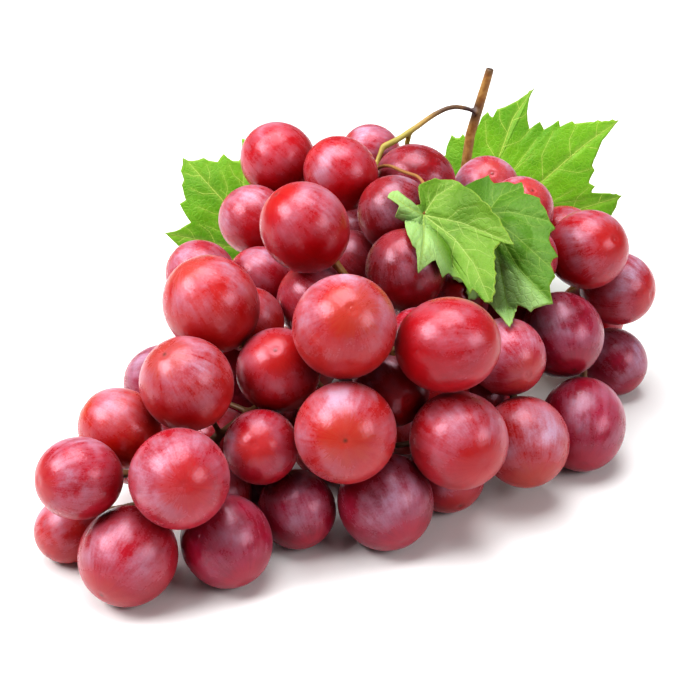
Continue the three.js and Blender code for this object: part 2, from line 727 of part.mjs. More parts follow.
// The leaf's surface: t is 0 at the joint and 1 at the edge, step counts along the edge.
function leafPoint(leaf, step, t) {
  const [edgeU, edgeV] = leaf.edge[step];
  const u = leaf.joint.u + (edgeU - leaf.joint.u) * t;
  const v = leaf.joint.v + (edgeV - leaf.joint.v) * t;
  const around = Math.atan2(edgeV - leaf.joint.v, edgeU - leaf.joint.u);
  const wave = Math.sin(LEAF_WAVES * around) * LEAF_WAVE * t * t;
  return atDepth({ u, v, depth: leafDepth(leaf, u, v) + wave });
}

function leafDepth(leaf, u, v) {
  const right = u - leaf.joint.u;
  const down = v - leaf.joint.v;
  const open = leaf.depth + leaf.slope[0] * right + leaf.slope[1] * down
    + leaf.cup * (right * right + down * down);
  let depth = depthClearOfBerries(u, v, open);
  const under = LEAVES.find(({ name }) => name === leaf.over);
  if (under) depth = Math.min(depth, leafDepth(under, u, v) - LEAF_OVER_GAP);
  return depth;
}

// A depth moved along its line of sight, off every berry that it would run into there.
function depthClearOfBerries(u, v, open) {
  const line = sightLine(u, v);
  const perDepth = line.length();
  line.normalize();
  let depth = open;
  for (const berry of berries) {
    const from = berry.middle.clone().sub(EYE);
    const deep = from.dot(line);
    const room = berry.long * BERRY_SWELL + LEAF_GAP + LEAF_THICKNESS / 2;
    const aside = Math.sqrt(Math.max(0, from.lengthSq() - deep * deep));
    if (aside >= room) continue;
    const half = Math.sqrt(room * room - aside * aside);
    if (open * perDepth > deep + LEAF_BEHIND) depth = Math.max(depth, (deep + half) / perDepth);
    else depth = Math.min(depth, (deep - half) / perDepth);
  }
  return depth;
}

function leafGeometry(leaf) {
  const count = leaf.edge.length;
  const middle = [leafPoint(leaf, 0, 0)];
  for (const t of LEAF_RINGS) {
    for (let step = 0; step < count; step += 1) middle.push(leafPoint(leaf, step, t));
  }
  const faces = [];
  for (let step = 0; step < count; step += 1) {
    const next = (step + 1) % count;
    faces.push([0, 1 + step, 1 + next]);
    for (let ring = 1; ring < LEAF_RINGS.length; ring += 1) {
      const low = 1 + (ring - 1) * count;
      const high = low + count;
      faces.push([low + step, high + step, high + next]);
      faces.push([low + step, high + next, low + next]);
    }
  }
  const flat = new THREE.BufferGeometry().setFromPoints(middle);
  flat.setIndex(faces.flat());
  flat.computeVertexNormals();
  const normals = flat.attributes.normal;
  const positions = [];
  for (const sign of [1, -1]) {
    middle.forEach((point, i) => {
      const normal = new THREE.Vector3().fromBufferAttribute(normals, i);
      positions.push(...point.clone()
        .addScaledVector(normal, (sign * LEAF_THICKNESS) / 2).toArray());
    });
  }
  const index = [];
  const other = middle.length;
  for (const [a, b, c] of faces) index.push(a, b, c, a + other, c + other, b + other);
  const rim = 1 + (LEAF_RINGS.length - 1) * count;
  for (let step = 0; step < count; step += 1) {
    const here = rim + step;
    const next = rim + ((step + 1) % count);
    index.push(here, here + other, next + other, here, next + other, next);
  }
  const geometry = new THREE.BufferGeometry();
  geometry.setAttribute("position", new THREE.Float32BufferAttribute(positions, 3));
  geometry.setIndex(index);
  return geometry;
}

// The petiole leaves the joint and stops just short of the stalk that it grew on.
function petiolePath(leaf) {
  const start = leafPoint(leaf, 0, 0);
  const stalk = leaf.stalk === "wing" ? wingStalk : mainStalk.slice(3);
  const last = atDepth(leaf.petiole[leaf.petiole.length - 1]);
  const foot = nearestOnPath(last, stalk).point;
  const back = last.clone().sub(foot).normalize();
  const end = foot.clone().addScaledVector(back, RACHIS_WIDTH / 2 + PETIOLE_WIDTH / 2);
  return bendClear(spaced([start, ...leaf.petiole.map(atDepth), end], PETIOLE_POINTS),
    PETIOLE_WIDTH, null);
}

// Short stalks keep clear of the berries and, as if of a string of beads, of the petioles.
const petioles = LEAVES.map(petiolePath);
const obstacles = [...berries];
for (const path of petioles) {
  for (const middle of spaced(path, PETIOLE_BEADS)) {
    obstacles.push({ middle, half: PETIOLE_WIDTH / 2, long: PETIOLE_WIDTH / 2, axis: UP });
  }
}

const grown = [
  ...mainStalk.slice(MAIN_BEARS_FROM).map((point) => ({ point, used: 0 })),
  ...wingStalk.slice(WING_BEARS_FROM).map((point) => ({ point, used: 0 })),
];
const stalkParts = [
  stalkGeometry(mainStalk, mainWidths, MAIN_SIDES),
  stalkGeometry(wingRound, wingWidths, WING_SIDES),
];

function blockedLength(from, to, own) {
  const line = new THREE.Line3(from, to);
  const found = new THREE.Vector3();
  let sum = 0;
  for (const berry of berries) {
    if (berry === own) continue;
    line.closestPointToPoint(berry.middle, true, found);
    sum += Math.max(0, berry.half + BLOCKED_ROOM - found.distanceTo(berry.middle));
  }
  return sum;
}

// Each berry hangs on a short stalk from the nearest stalk already grown.
const byDistance = [...berries].sort((a, b) => (
  nearestOnPath(a.middle, RACHIS).distance - nearestOnPath(b.middle, RACHIS).distance));
for (const berry of byDistance) {
  const end = stemEnd(berry, STALK_GAP);
  const approach = stemEnd(berry, PEDICEL_APPROACH);
  const cost = (place) => place.point.distanceTo(approach)
    + BLOCKED_COST * blockedLength(place.point, approach, berry) + SHARED_COST * place.used;
  const near = grown.filter(({ point }) => point.distanceTo(approach) > PEDICEL_LEAST)
    .sort((a, b) => cost(a) - cost(b)).slice(0, PEDICEL_CHOICES);
  let best = null;
  for (const place of near) {
    const path = [...spaced([place.point, approach], PEDICEL_POINTS), end];
    bendClear(path, PEDICEL_WIDTH, berry, obstacles);
    const rank = cost(place) + SUNK_COST * sunkInBerries(path, PEDICEL_WIDTH, berry);
    if (!best || rank < best.rank) best = { place, path, rank };
  }
  best.place.used += 1;
  const { path } = best;
  const widths = PEDICEL_SWELL.map((swell) => swell * PEDICEL_WIDTH);
  stalkParts.push(stalkGeometry(path, widths, PEDICEL_SIDES, berry.axis));
  grown.push({ point: path[2].clone(), used: 1 }, { point: path[3].clone(), used: 1 });
}

const group = new THREE.Group();

function addMesh(name, geometry, { colour, roughness }) {
  const material = new THREE.MeshStandardMaterial({ color: colour, roughness, metalness: 0 });
  const mesh = new THREE.Mesh(geometry, material);
  mesh.name = name;
  group.add(mesh);
}

const stem = stalkParts.map(toManifold).reduce((sum, part) => sum.add(part));
addMesh("stem", fromManifold(stem), LOOKS.stem);

LEAVES.forEach((leaf, i) => {
  const petiole = stalkGeometry(petioles[i], petioles[i].map(() => PETIOLE_WIDTH), WING_SIDES);
  const blade = toManifold(leafGeometry(leaf)).add(toManifold(petiole));
  addMesh(leaf.name, fromManifold(blade), { colour: leaf.colour, roughness: LEAF_ROUGHNESS });
});

const slab = new THREE.BoxGeometry(TABLE, TABLE, TABLE);
slab.translate(0, 0, -TABLE / 2);
const table = toManifold(slab);

function berrySolid(berry) {
  const solid = toManifold(berryGeometry(berry));
  const low = berry.middle.z - reach(berry, UP);
  return low < -TOUCHING ? solid.subtract(table) : solid;
}

const near = berries.filter((berry) => berry.near);
near.forEach((berry, index) => {
  const name = `berry_${String(index + 1).padStart(2, "0")}`;
  addMesh(name, fromManifold(berrySolid(berry)), LOOKS.berry);
});

const farSolids = berries.filter((berry) => !berry.near).map(berrySolid);
const sprays = farSolids.reduce((sum, solid) => sum.add(solid)).decompose();
sprays.forEach((spray, index) => {
  const name = `berries_far_${String(index + 1).padStart(2, "0")}`;
  addMesh(name, fromManifold(spray), LOOKS.farBerry);
});

export default group;
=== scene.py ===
import math
import random

import bpy
import numpy as np
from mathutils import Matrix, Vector, noise
from mathutils.bvhtree import BVHTree


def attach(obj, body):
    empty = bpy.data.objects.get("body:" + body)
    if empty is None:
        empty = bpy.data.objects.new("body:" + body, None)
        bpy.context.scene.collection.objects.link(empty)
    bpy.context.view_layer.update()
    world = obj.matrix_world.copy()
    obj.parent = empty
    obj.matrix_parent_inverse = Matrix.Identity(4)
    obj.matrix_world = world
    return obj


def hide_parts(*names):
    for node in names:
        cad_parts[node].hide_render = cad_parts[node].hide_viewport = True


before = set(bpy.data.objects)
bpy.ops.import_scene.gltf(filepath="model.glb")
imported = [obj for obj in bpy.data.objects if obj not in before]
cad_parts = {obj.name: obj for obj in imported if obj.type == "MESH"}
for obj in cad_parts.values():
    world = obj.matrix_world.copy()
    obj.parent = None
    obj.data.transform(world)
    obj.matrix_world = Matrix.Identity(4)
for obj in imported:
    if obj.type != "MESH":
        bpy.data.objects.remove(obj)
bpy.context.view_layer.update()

# Metres; X along the bunch towards the stem end, Z up, the table at Z = 0.
MM = 0.001
SEED = 7

# The camera stands where the layout view's eye is.
EYE = Vector((-0.261, -0.352, 0.274))
EYE_TURN = math.radians(36)
EYE_DOWN = math.radians(30)
EYE_FOCUS = 1653
IMAGE_SIZE = 700
VIEW_MIDDLE = IMAGE_SIZE / 2
SENSOR = 36
CLIP_START = 0.01
RIGHT = Vector((math.cos(EYE_TURN), -math.sin(EYE_TURN), 0))
AHEAD = Vector((math.sin(EYE_TURN), math.cos(EYE_TURN), 0))
UP = Vector((0, 0, 1))
SIGHT = AHEAD * math.cos(EYE_DOWN) - UP * math.sin(EYE_DOWN)
VIEW_UP = AHEAD * math.sin(EYE_DOWN) + UP * math.cos(EYE_DOWN)

# The pale table, and the soft light over it.
FLOOR_HALF = 3
FLOOR_COLOUR = (0.75, 0.75, 0.75, 1)
FLOOR_ROUGHNESS = 0.6
BUNCH_MIDDLE = (0, 0, 0.04)
WORLD_LIGHT = 0.20
# Softboxes: how far right, ahead and up as the camera looks, size, and power in watts.
SOFTBOXES = {
    "overhead": (-0.10, 0.15, 1.40, (1.05, 1.05), 25.5),
    "left_window": (-0.72, -0.20, 0.80, (0.62, 0.46), 12.0),
    "right_window": (0.75, -0.45, 0.50, (0.52, 0.40), 4.0),
}

# The coarse berries that the fine ones stand for: sides round the axis, bands along it.
NEAR_BERRY = {"sides": 12, "bands": 7}
FAR_BERRY = {"sides": 10, "bands": 5}
# Corners this close are one, and the ring round a berry's end is even to this share.
SAME_CORNER = 0.002 * MM
EVEN_RING = 0.03

# Skin tones of ripe red grapes, linear RGB: where the skin is thick, where it is thin, and
# the clear patch round the blossom end, where the flesh shows through.
SKIN_TONES = {
    "red": ((0.285, 0.0004, 0.002), (0.370, 0.002, 0.006), (0.350, 0.010, 0.006)),
    "deep": ((0.140, 0.0004, 0.001), (0.225, 0.001, 0.004), (0.240, 0.004, 0.005)),
    "rose": ((0.260, 0.0004, 0.005), (0.345, 0.005, 0.018), (0.340, 0.018, 0.015)),
    "pink": ((0.305, 0.003, 0.012), (0.380, 0.042, 0.064), (0.360, 0.040, 0.032)),
    "salmon": ((0.320, 0.002, 0.003), (0.390, 0.019, 0.013), (0.350, 0.032, 0.013)),
    "orange": ((0.335, 0.003, 0.002), (0.390, 0.027, 0.007), (0.360, 0.040, 0.009)),
    "purple": ((0.180, 0.0004, 0.009), (0.280, 0.003, 0.030), (0.290, 0.007, 0.022)),
}
# Tone and amount of waxy bloom and painted highlight of each near berry, from berry_01 on.
BERRY_LOOKS = [
    ("red", 0.55), ("pink", 0.80), ("red", 0.60), ("deep", 0.50), ("red", 0.40),
    ("red", 0.60), ("deep", 0.60), ("pink", 0.95), ("pink", 0.75), ("rose", 0.60),
    ("salmon", 0.55), ("pink", 0.85), ("salmon", 0.60), ("deep", 0.45), ("deep", 0.50),
    ("red", 0.30), ("pink", 0.75), ("red", 0.60), ("red", 0.50), ("rose", 0.75),
    ("purple", 0.55), ("purple", 0.70), ("purple", 0.45), ("salmon", 0.70), ("red", 0.45),
    ("red", 0.45), ("salmon", 0.60), ("salmon", 0.65), ("orange", 0.50), ("rose", 0.50),
    ("rose", 0.65), ("rose", 0.65), ("salmon", 0.60), ("rose", 0.50), ("purple", 0.35),
    ("purple", 0.50), ("purple", 0.50), ("rose", 0.60), ("red", 0.35), ("pink", 0.85),
    ("deep", 0.20), ("deep", 0.20), ("rose", 0.50), ("rose", 0.50), ("rose", 0.50),
]
# Each far berry has one of these tones and an amount of bloom and painted highlight between these,
# by chance.
FAR_TONES = ["rose", "purple", "red", "deep", "salmon"]
FAR_BLOOM_AND_HIGHLIGHT = (0.4, 0.7)
# How much darker or lighter than its tone a berry may be.
TONE_SHIFT = (0.92, 1.08)

# Frequency of each kind of mark on the skin, per half width of a berry. A range is from and
# to, and where it has four values, the amounts there.
SKIN_MARKS = {"blotches": 1.5, "fine": 14.0, "clouds": 1.25, "grain": 26.0, "specks": 5.5,
              "speckled": 2.3, "rubbed": 1.1}
# Shares of the marks in where the skin is thin, and the range over which it gets thin.
THIN_SKIN = {"strokes": 0.28, "blotches": 0.85, "fine": 0.30}
THIN_RANGE = (0.34, 0.80)
# Shares of grain and strokes in the clouds of wax, and the range over which those thicken.
WAX_CLOUDS = {"grain": 0.20, "strokes": 0.36}
WAX_RANGE = (0.32, 0.80)
# The clear patch: how combed its edge is, and what makes it show.
CLEAR_COMBED = 1.5
CLEAR_RANGES = {"edge": (0.15, 0.95, 0.0, 0.9), "inside": (0.0, 0.4),
                "strokes": (0.30, 0.60, 0.55, 1.0), "waxed": (0.0, 0.9, 1.0, 0.2)}
# Small dark specks: their size, where there are any, and how dark they are.
SPECKS = {"size": (0.045, 0.085, 1.0, 0.0), "where": (0.52, 0.62), "share": 0.55}
# Rougher with more wax, softly lit from within, with a pinkish sheen.
BERRY_ROUGHNESS = (0.0, 0.6, 0.27, 0.42)
BERRY_FINISH = {
    "Subsurface Weight": 0.40, "Subsurface Radius": (1.0, 0.12, 0.08),
    "Subsurface Scale": 4.0 * MM, "Specular IOR Level": 0.50,
    "Specular Tint": (1.0, 0.72, 0.88, 1.0), "Sheen Weight": 0.09,
    "Sheen Roughness": 0.36, "Sheen Tint": (1.0, 0.74, 0.88, 1.0),
}
SKIN_RELIEF = {"fine": 0.4, "clouds": 0.6, "height": 0.16 * MM}
# The pale colour of the wax, also painted on the upper side as a highlight.
BLOOM_AND_HIGHLIGHT_COLOUR = (0.45, 0.34, 0.46)
# Near another berry the skin is free of wax and darkened by painted shade: how far off, how
# much where they touch, and the share of the dark tone in that painted shade.
RUBBED_AND_SHADED_DEPTH = 3.2 * MM
RUBBED_AND_SHADED_MOST = 0.9
PAINTED_SHADE_DARK = 0.85
# Degrees from the blossom end: the clear patch, whole and gone, and the frosted ring, its
# middle and its width.
CLEAR_PATCH = (18, 46)
FROSTED_RING = (58, 26)
# The amounts: wax everywhere, a painted highlight on the upper side, wax in the frosted ring, and
# wax by chance.
BLOOM_AND_HIGHLIGHT_SHARES = {"all": 0.02, "upward": 0.80, "ring": 0.50, "rubbed": 0.45}
SPECK_COLOUR = (0.09, 0.018, 0.010)
SCAR_COLOUR = (0.08, 0.024, 0.012)

# A fine berry: turns round its axis, and rings in degrees from the stem end, closer at the ends.
BERRY_TURNS = 56
BERRY_RINGS = [2, 4, 6, 8.5, 11.5, 15, 19, 24, *range(30, 151, 6), 156, 161, 165, 168.5,
               171.5, 174, 176, 178]
# Dimples at the two ends and the scar in the blossom end; widths in degrees.
STEM_DIMPLE = {"depth": 0.75 * MM, "wide": 13}
BLOSSOM_DIMPLE = {"depth": 0.30 * MM, "wide": 9}
BLOSSOM_SCAR = {"height": 0.22 * MM, "wide": 2.2, "dark": 2.64, "fade": 1.5}
SCAR_ROUNDING = 0.6
# The share by which a berry is out of round, and the share of berries with a dark scar.
BERRY_LUMPS = 0.008
LUMPS_ACROSS = 1.3
SCARRED = 0.3
# Strokes of colour: how many times finer round a berry than along it.
STROKES_ROUND = 8
STROKES_ALONG = 1.1

# Places on the stalk, in the layout view, with their depths in millimetres.
PEDUNCLE_TOP = (490, 69, 524)
COLLAR = (470, 111, 530)
WING_BEND = (448, 110, 528)
WING_KNOT = (386, 146, 520)
# The bark is swollen a little, made again on a grid of small cells, and smoothed.
STEM_VOXEL = 0.42 * MM
STEM_SWELL = 0.16 * MM
STEM_SMOOTHING = {"rounds": 8, "share": 0.5}
STEM_KNOTS = 0.05 * MM
KNOTS_PER_METRE = 260
# How far the green of the side stalk, the dark of the collar and bend, and the dark of the
# cut end reach from their places.
GREEN_REACH = 26 * MM
COLLAR_REACH = 5.5 * MM
BEND_REACH = 9 * MM
CUT_REACH = 2.6 * MM
# The colour is whole close to its place, as it would pass 1 there.
REACH_PEAK = 1.4
BEND_DARK = 0.8
# Height under which the stalks inside the bunch are darkened with painted shade, over how much,
# and how dark.
INNER_HEIGHT = 62 * MM
INNER_FADE = 30 * MM
INNER_SHADE_DARK = 0.85
# Frequency of the bark's marks, per metre, their ranges, and what the dots add.
STEM_MARKS = {"streaks": 420, "broad": 60, "dots": 520}
STEM_RANGES = {"streaks": (0.34, 0.68), "green": (0.25, 0.6, 0.55, 1.0),
               "dots": (0.10, 0.20, 1.0, 0.0), "roughness": (0.2, 0.8, 0.42, 0.66)}
STEM_DOTS = {"dark": 0.18, "raised": 0.5}
STEM_RELIEF = 0.08 * MM
# Bark colours, linear RGB.
STEM_TONES = {
    "bark": ((0.240, 0.102, 0.023), (0.396, 0.216, 0.057)),
    "green": (0.300, 0.252, 0.042),
    # Painted shade on the stalks low inside the bunch.
    "inner_shade": (0.102, 0.042, 0.016),
    "collar": (0.036, 0.012, 0.010),
    "cut": (0.045, 0.020, 0.010),
}

# Leaf outlines in the layout view, round the joint. depth is the joint's in millimetres, slope
# what it gains to the right and downwards, cup the curve of the blade, and pale the line beyond
# which the underside is turned up. Veins and petiole start at the joint.
LEAVES = {
    "leaf_left": {
        "joint": (278, 258), "depth": 538, "slope": (0.02, 0.1), "cup": 0.0006,
        "edge": [
          (268, 272), (240, 294), (224, 282), (198, 286), (201, 264), (184, 251), (178, 245),
          (170, 237.5), (165, 233), (174, 231.5), (180, 229), (186, 225), (191, 222.5),
          (186, 215.5), (182.5, 209), (180, 204), (186, 200), (184, 194), (183, 189), (182, 185.5),
          (184, 180), (182.5, 175), (181, 171), (183, 165), (183, 158), (188, 160.5), (193, 161),
          (199, 160), (204, 158), (208, 160.5), (214, 161.5), (218, 162), (220.5, 158), (224, 154),
          (228, 158), (233, 161), (239, 161), (241, 158), (242, 149), (242, 138.5), (245, 139.5),
          (250, 142), (264, 133), (270, 150), (286, 142), (292, 162), (312, 160), (300, 183),
          (310, 196), (299, 212), (305, 234), (293, 246), (286, 268)],
        "petiole": [(292, 290, 518), (318, 345, 492)],
        "veins": [
          [(226, 204), (188, 162)], [(204, 241), (170, 234)], [(244, 190), (243, 144)],
          [(284, 205), (266, 138)], [(232, 272), (202, 283)], [(296, 210), (308, 164)]],
    },
    "leaf_back": {
        "joint": (468, 226), "depth": 566, "slope": (-0.1, 0.08), "cup": 0.0006,
        "edge": [
          (456, 246), (434, 258), (428, 238), (412, 230), (424, 213), (410, 192), (427, 182),
          (432, 168), (441, 161), (446, 155), (447, 147), (449, 142), (452, 135), (456, 138),
          (460, 138), (463, 134), (467, 139), (472, 136), (478, 126), (482, 117), (488, 112),
          (490, 116), (492.5, 117.5), (497, 109.5), (505, 107), (511, 104), (517.5, 100.5),
          (525, 95), (534, 88), (531.5, 93), (529.5, 98), (528, 105), (527, 112), (527.5, 121),
          (529.5, 129), (535, 125), (540, 122), (542, 126), (544, 129.5), (549, 127), (554, 124),
          (558.5, 120.5), (560, 127), (566, 124), (572, 121.5), (574.5, 124), (582, 123),
          (590, 122), (605, 121), (619, 120), (615, 125), (611, 130), (606.5, 136), (602, 141),
          (600, 146), (598, 151), (596, 156), (593.5, 161), (592, 166), (594.5, 170.5), (592, 175),
          (589.5, 180), (589, 183), (595, 186.5), (592, 190), (591.5, 192.5), (600, 193),
          (610, 193), (622, 195.5), (617.5, 200.5), (616, 207), (612.5, 213), (611, 216),
          (613.5, 223), (607, 224), (598, 238), (590, 258), (570, 256), (548, 270), (538, 256),
          (512, 272), (502, 254), (484, 250)],
        "petiole": [(470, 205, 562)],
        "veins": [
          [(497, 163), (513, 118), (531, 92)], [(536, 187), (584, 145), (617, 122)],
          [(550, 218), (619, 197)], [(446, 178), (436, 150)], [(538, 244), (588, 256)],
          [(500, 248), (512, 268)], [(430, 205), (413, 193)]],
    },
    "leaf_under": {
        "joint": (486, 214), "depth": 487, "slope": (-0.2, -0.19), "cup": 0.0009,
        "pale": [(495, 252), (549, 302)],
        "edge": [
          (476, 207), (465, 187), (472, 183), (477, 180.5), (484, 178.5), (489, 175.5),
          (491, 180.5), (494, 184), (500, 183.5), (508, 182.5), (515, 185), (522, 182.5),
          (524, 189), (524, 194), (531, 195.5), (540, 198.5), (540.5, 203), (544, 207),
          (546.5, 211), (548, 216), (550, 221), (555.5, 229), (550.5, 233), (549, 240), (551, 246),
          (554, 250), (558, 257), (553, 259.5), (550.5, 264), (553, 270), (555.5, 277),
          (552.5, 281), (550, 286), (551, 294), (553, 304), (546, 305), (540, 307), (534, 309),
          (531, 312.5), (527.5, 309), (518, 305), (516, 310.5), (514, 317), (510, 327.5),
          (506, 323.5), (502.5, 319), (497.5, 314), (493, 307), (480, 298), (468, 300), (466, 284),
          (452, 280), (456, 264), (448, 252), (460, 242), (456, 228), (471, 224)],
        "petiole": [(479, 196, 512)],
        "veins": [
          [(511, 212), (552, 222)], [(500, 196), (524, 186)], [(516, 236), (555, 272)],
          [(500, 262), (510, 322)], [(470, 250), (467, 296)], [(518, 268), (550, 302)]],
    },
    "leaf_front": {
        "joint": (423.5, 215), "depth": 479, "slope": (-0.1, -0.08), "cup": -0.0006,
        "over": "leaf_under", "pale": [(420, 212), (468, 300)],
        "edge": [
          (421, 204), (419, 195), (418, 187), (421, 184), (425, 182), (430, 180), (435, 178),
          (440, 180), (446, 180), (453, 180), (459, 182), (465, 187), (472, 190), (477, 194),
          (480, 197), (482.5, 201), (487, 203), (491, 207), (492.5, 212), (497, 215), (500.5, 219),
          (503, 226), (508, 233), (511, 240), (514.5, 245), (508, 244), (502, 242), (495, 250),
          (495, 265), (496, 282), (493, 302), (485, 303), (480, 298), (477.5, 294), (473, 289.5),
          (470.5, 294.5), (468, 290), (465.5, 285.5), (462.5, 281), (459, 278.5), (452.5, 277),
          (448, 273), (444.5, 275), (442, 277.5), (439, 269), (435.5, 260.5), (432, 261.5),
          (428, 264.5), (422.5, 269), (418, 273.5), (417.5, 266), (417, 257), (415.5, 249),
          (412, 246), (410, 240), (407.5, 235), (405.5, 228), (405, 221.5), (400, 219),
          (395, 216.5), (397, 211), (399, 206), (393, 201), (387.5, 197), (389, 193.5),
          (392, 191.5), (397.5, 191), (401, 194), (405, 197.5), (410, 201), (416, 206)],
        "petiole": [(421, 188, 486), (410, 181, 490), (398, 171, 497), (388, 160, 507)],
        "veins": [
          [(454, 238), (474, 264), (489, 300)], [(462, 223), (511, 243)], [(436, 196), (458, 183)],
          [(424, 240), (419, 270)], [(408, 207), (390, 194)]],
    },
}

# Thickness at the joint, and the share of it that is gone at the edge.
LEAF_THICKNESS = 0.6 * MM
LEAF_THINNED = 0.45
# Millimetres of depth: clear of the berries, clear of the leaf below, and how far behind a
# berry's middle a leaf goes on behind that berry.
LEAF_GAP = 1.5
LEAF_OVER_GAP = 2.6
LEAF_BEHIND = 8
# Waves round a blade, and their height in millimetres at its edge.
LEAF_WAVES = 5
LEAF_WAVE = 1.2
# Rings round the joint, set a little outwards by this power.
LEAF_RINGS = 34
RING_POWER = 0.85
# A second tooth on each side of the outline that is longer than TOOTHED_FROM pixels: shares
# of that side, outwards. It fades towards the middle of the blade with this power.
TEETH = [0.0, -0.04, 0.07, -0.04]
TOOTHED_FROM = 11
TOOTH_DEPTH = 12
# The blade swells between its veins and dips along them, from a little off the joint on.
PUCKER = 0.35 * MM
PUCKER_LIFT = 0.6
PUCKERS_PER_METRE = 170
SWELLS_WITHIN = 1 / 6
VEIN_DIP = 0.16 * MM
SIDE_DIP = 0.5
DIP_WIDTHS = {"main": 3.2, "side": 2.0}
# Veins are ridges: lower where they branch off, higher on the underside, their feet sunk in.
VEIN_RAISED = 0.09 * MM
SIDE_RAISED = 0.6
UNDER_RAISED = 2.4
VEIN_SUNK = 0.5
VEIN_TIP = 0.3
VEIN_SMOOTHING = 3
# Steps along a vein in the layout view, for its dip and its ridge.
DIP_STEP = 2.0
RIDGE_STEP = 1.2
# Half widths of a vein at its foot and tip.
MAIN_VEIN = (0.34 * MM, 0.10 * MM)
SIDE_VEIN = (0.14 * MM, 0.05 * MM)
# Shares of a main vein: where side veins leave it, how long they are near its foot, and where
# they would shrink to nothing; then their way ahead and aside, halfway and at the tip.
SIDE_VEINS = [0.16, 0.26, 0.37, 0.48, 0.58, 0.68, 0.77, 0.86]
SIDE_VEIN_LENGTH = 0.42
SIDE_VEINS_END = 1.15
SIDE_VEIN_BEND = (0.62, 0.78)
SIDE_VEIN_TIP = (0.80, 0.60)
# A leaf's stalk is wider at its ends, ends at the stem and goes round the berries.
PETIOLE_WIDTH = 1.05 * MM
PETIOLE_ENDS = 0.35
PETIOLE_FOOT = 0.4
PETIOLE_STEP = 1.5 * MM
PETIOLE_ROOM = 0.3 * MM
PETIOLE_ROUNDS = 30
PETIOLE_EASE = 0.4
# Any direction that no petiole starts in.
FIRST_SPOKE = Vector((0.31, 0.17, 0.94))
# How far from the eye a place behind every leaf is.
BEHIND_LEAVES = 0.9
# What is stored with each corner of a leaf, 0 where nothing else is said.
PLAIN = dict.fromkeys(("vein", "near", "rim", "under", "stalk", "pale"), 0.0)

# Frequency of the blade's marks, per metre, their ranges, and the shares of all that colours
# it; side is what a side vein has of a main one, raised the grain in the relief.
LEAF_MARKS = {"broad": 55, "grain": 900, "net": 620}
LEAF_RANGES = {"broad": (0.35, 0.68), "grain": (0.4, 0.7), "net": (0.02, 0.16, 1.0, 0.0),
               "edge": (0.978, 1.0, 0.0, 0.30), "roughness": (0.2, 0.8, 0.44, 0.60)}
LEAF_SHARES = {"grain": 0.16, "net": 0.07, "pale": 0.7, "near": 0.24, "vein": 0.90,
               "under": 0.35, "side": 0.7, "raised": 0.25}
LEAF_FINISH = {
    "Specular IOR Level": 0.35, "Specular Tint": (0.90, 1.0, 0.60, 1.0),
    "Subsurface Weight": 0.12, "Subsurface Radius": (0.4, 1.0, 0.1),
    "Subsurface Scale": 1.0 * MM,
}
LEAF_RELIEF = 0.05 * MM
# Colours of the blade, of its shaded parts and of its veins, linear RGB.
LEAF_TONES = {
    "leaf_green": ((0.118, 0.290, 0.006), (0.068, 0.210, 0.003), (0.350, 0.470, 0.080)),
    "leaf_light": ((0.106, 0.222, 0.015), (0.064, 0.158, 0.008), (0.240, 0.350, 0.075)),
    "leaf_dark": ((0.053, 0.150, 0.005), (0.032, 0.104, 0.003), (0.140, 0.250, 0.034)),
}
LEAF_SLOTS = {"leaf_left": "leaf_green", "leaf_back": "leaf_green",
              "leaf_front": "leaf_light", "leaf_under": "leaf_dark"}
LEAF_EDGE_COLOUR = (0.300, 0.312, 0.036)
UNDERSIDE_COLOUR = (0.198, 0.282, 0.114)
STALK_COLOUR = (0.270, 0.130, 0.045)
# The turned-up underside, and how wide its border is in the layout view.
PALE_COLOUR = (0.280, 0.430, 0.170)
PALE_FADE = 9


def at_depth(u, v, depth):
    """A place of the layout view in the row frame; depth is in millimetres."""
    across = (u - VIEW_MIDDLE) / EYE_FOCUS
    upward = (VIEW_MIDDLE - v) / EYE_FOCUS
    return EYE + (SIGHT + RIGHT * across + VIEW_UP * upward) * (depth * MM)


def new_mesh(name, vertices, faces, smooth=True):
    mesh = bpy.data.meshes.new(name)
    mesh.from_pydata([tuple(v) for v in vertices], [], faces)
    if smooth:
        mesh.shade_smooth()
    mesh.validate()
    return mesh


def store(mesh, name, kind, values):
    """Keeps one value a vertex on the mesh: a FLOAT, FLOAT_VECTOR or FLOAT_COLOR."""
    slot = mesh.attributes.new(name, kind, "POINT")
    field = {"FLOAT": "value", "FLOAT_VECTOR": "vector", "FLOAT_COLOR": "color"}[kind]
    slot.data.foreach_set(field, np.asarray(values, dtype=np.float32).ravel())


def band(low, high, count):
    """Faces between two rings of corners that start at low and high."""
    turns = [(k, (k + 1) % count) for k in range(count)]
    return [(low + k, low + after, high + after, high + k) for k, after in turns]


def add_object(name, data):
    thing = bpy.data.objects.new(name, data)
    bpy.context.scene.collection.objects.link(thing)
    return thing


def add_piece(name, mesh, nodes, material):
    piece = add_object(name, mesh)
    mesh.materials.append(material)
    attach(piece, "root")
    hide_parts(*nodes)


# Node graphs

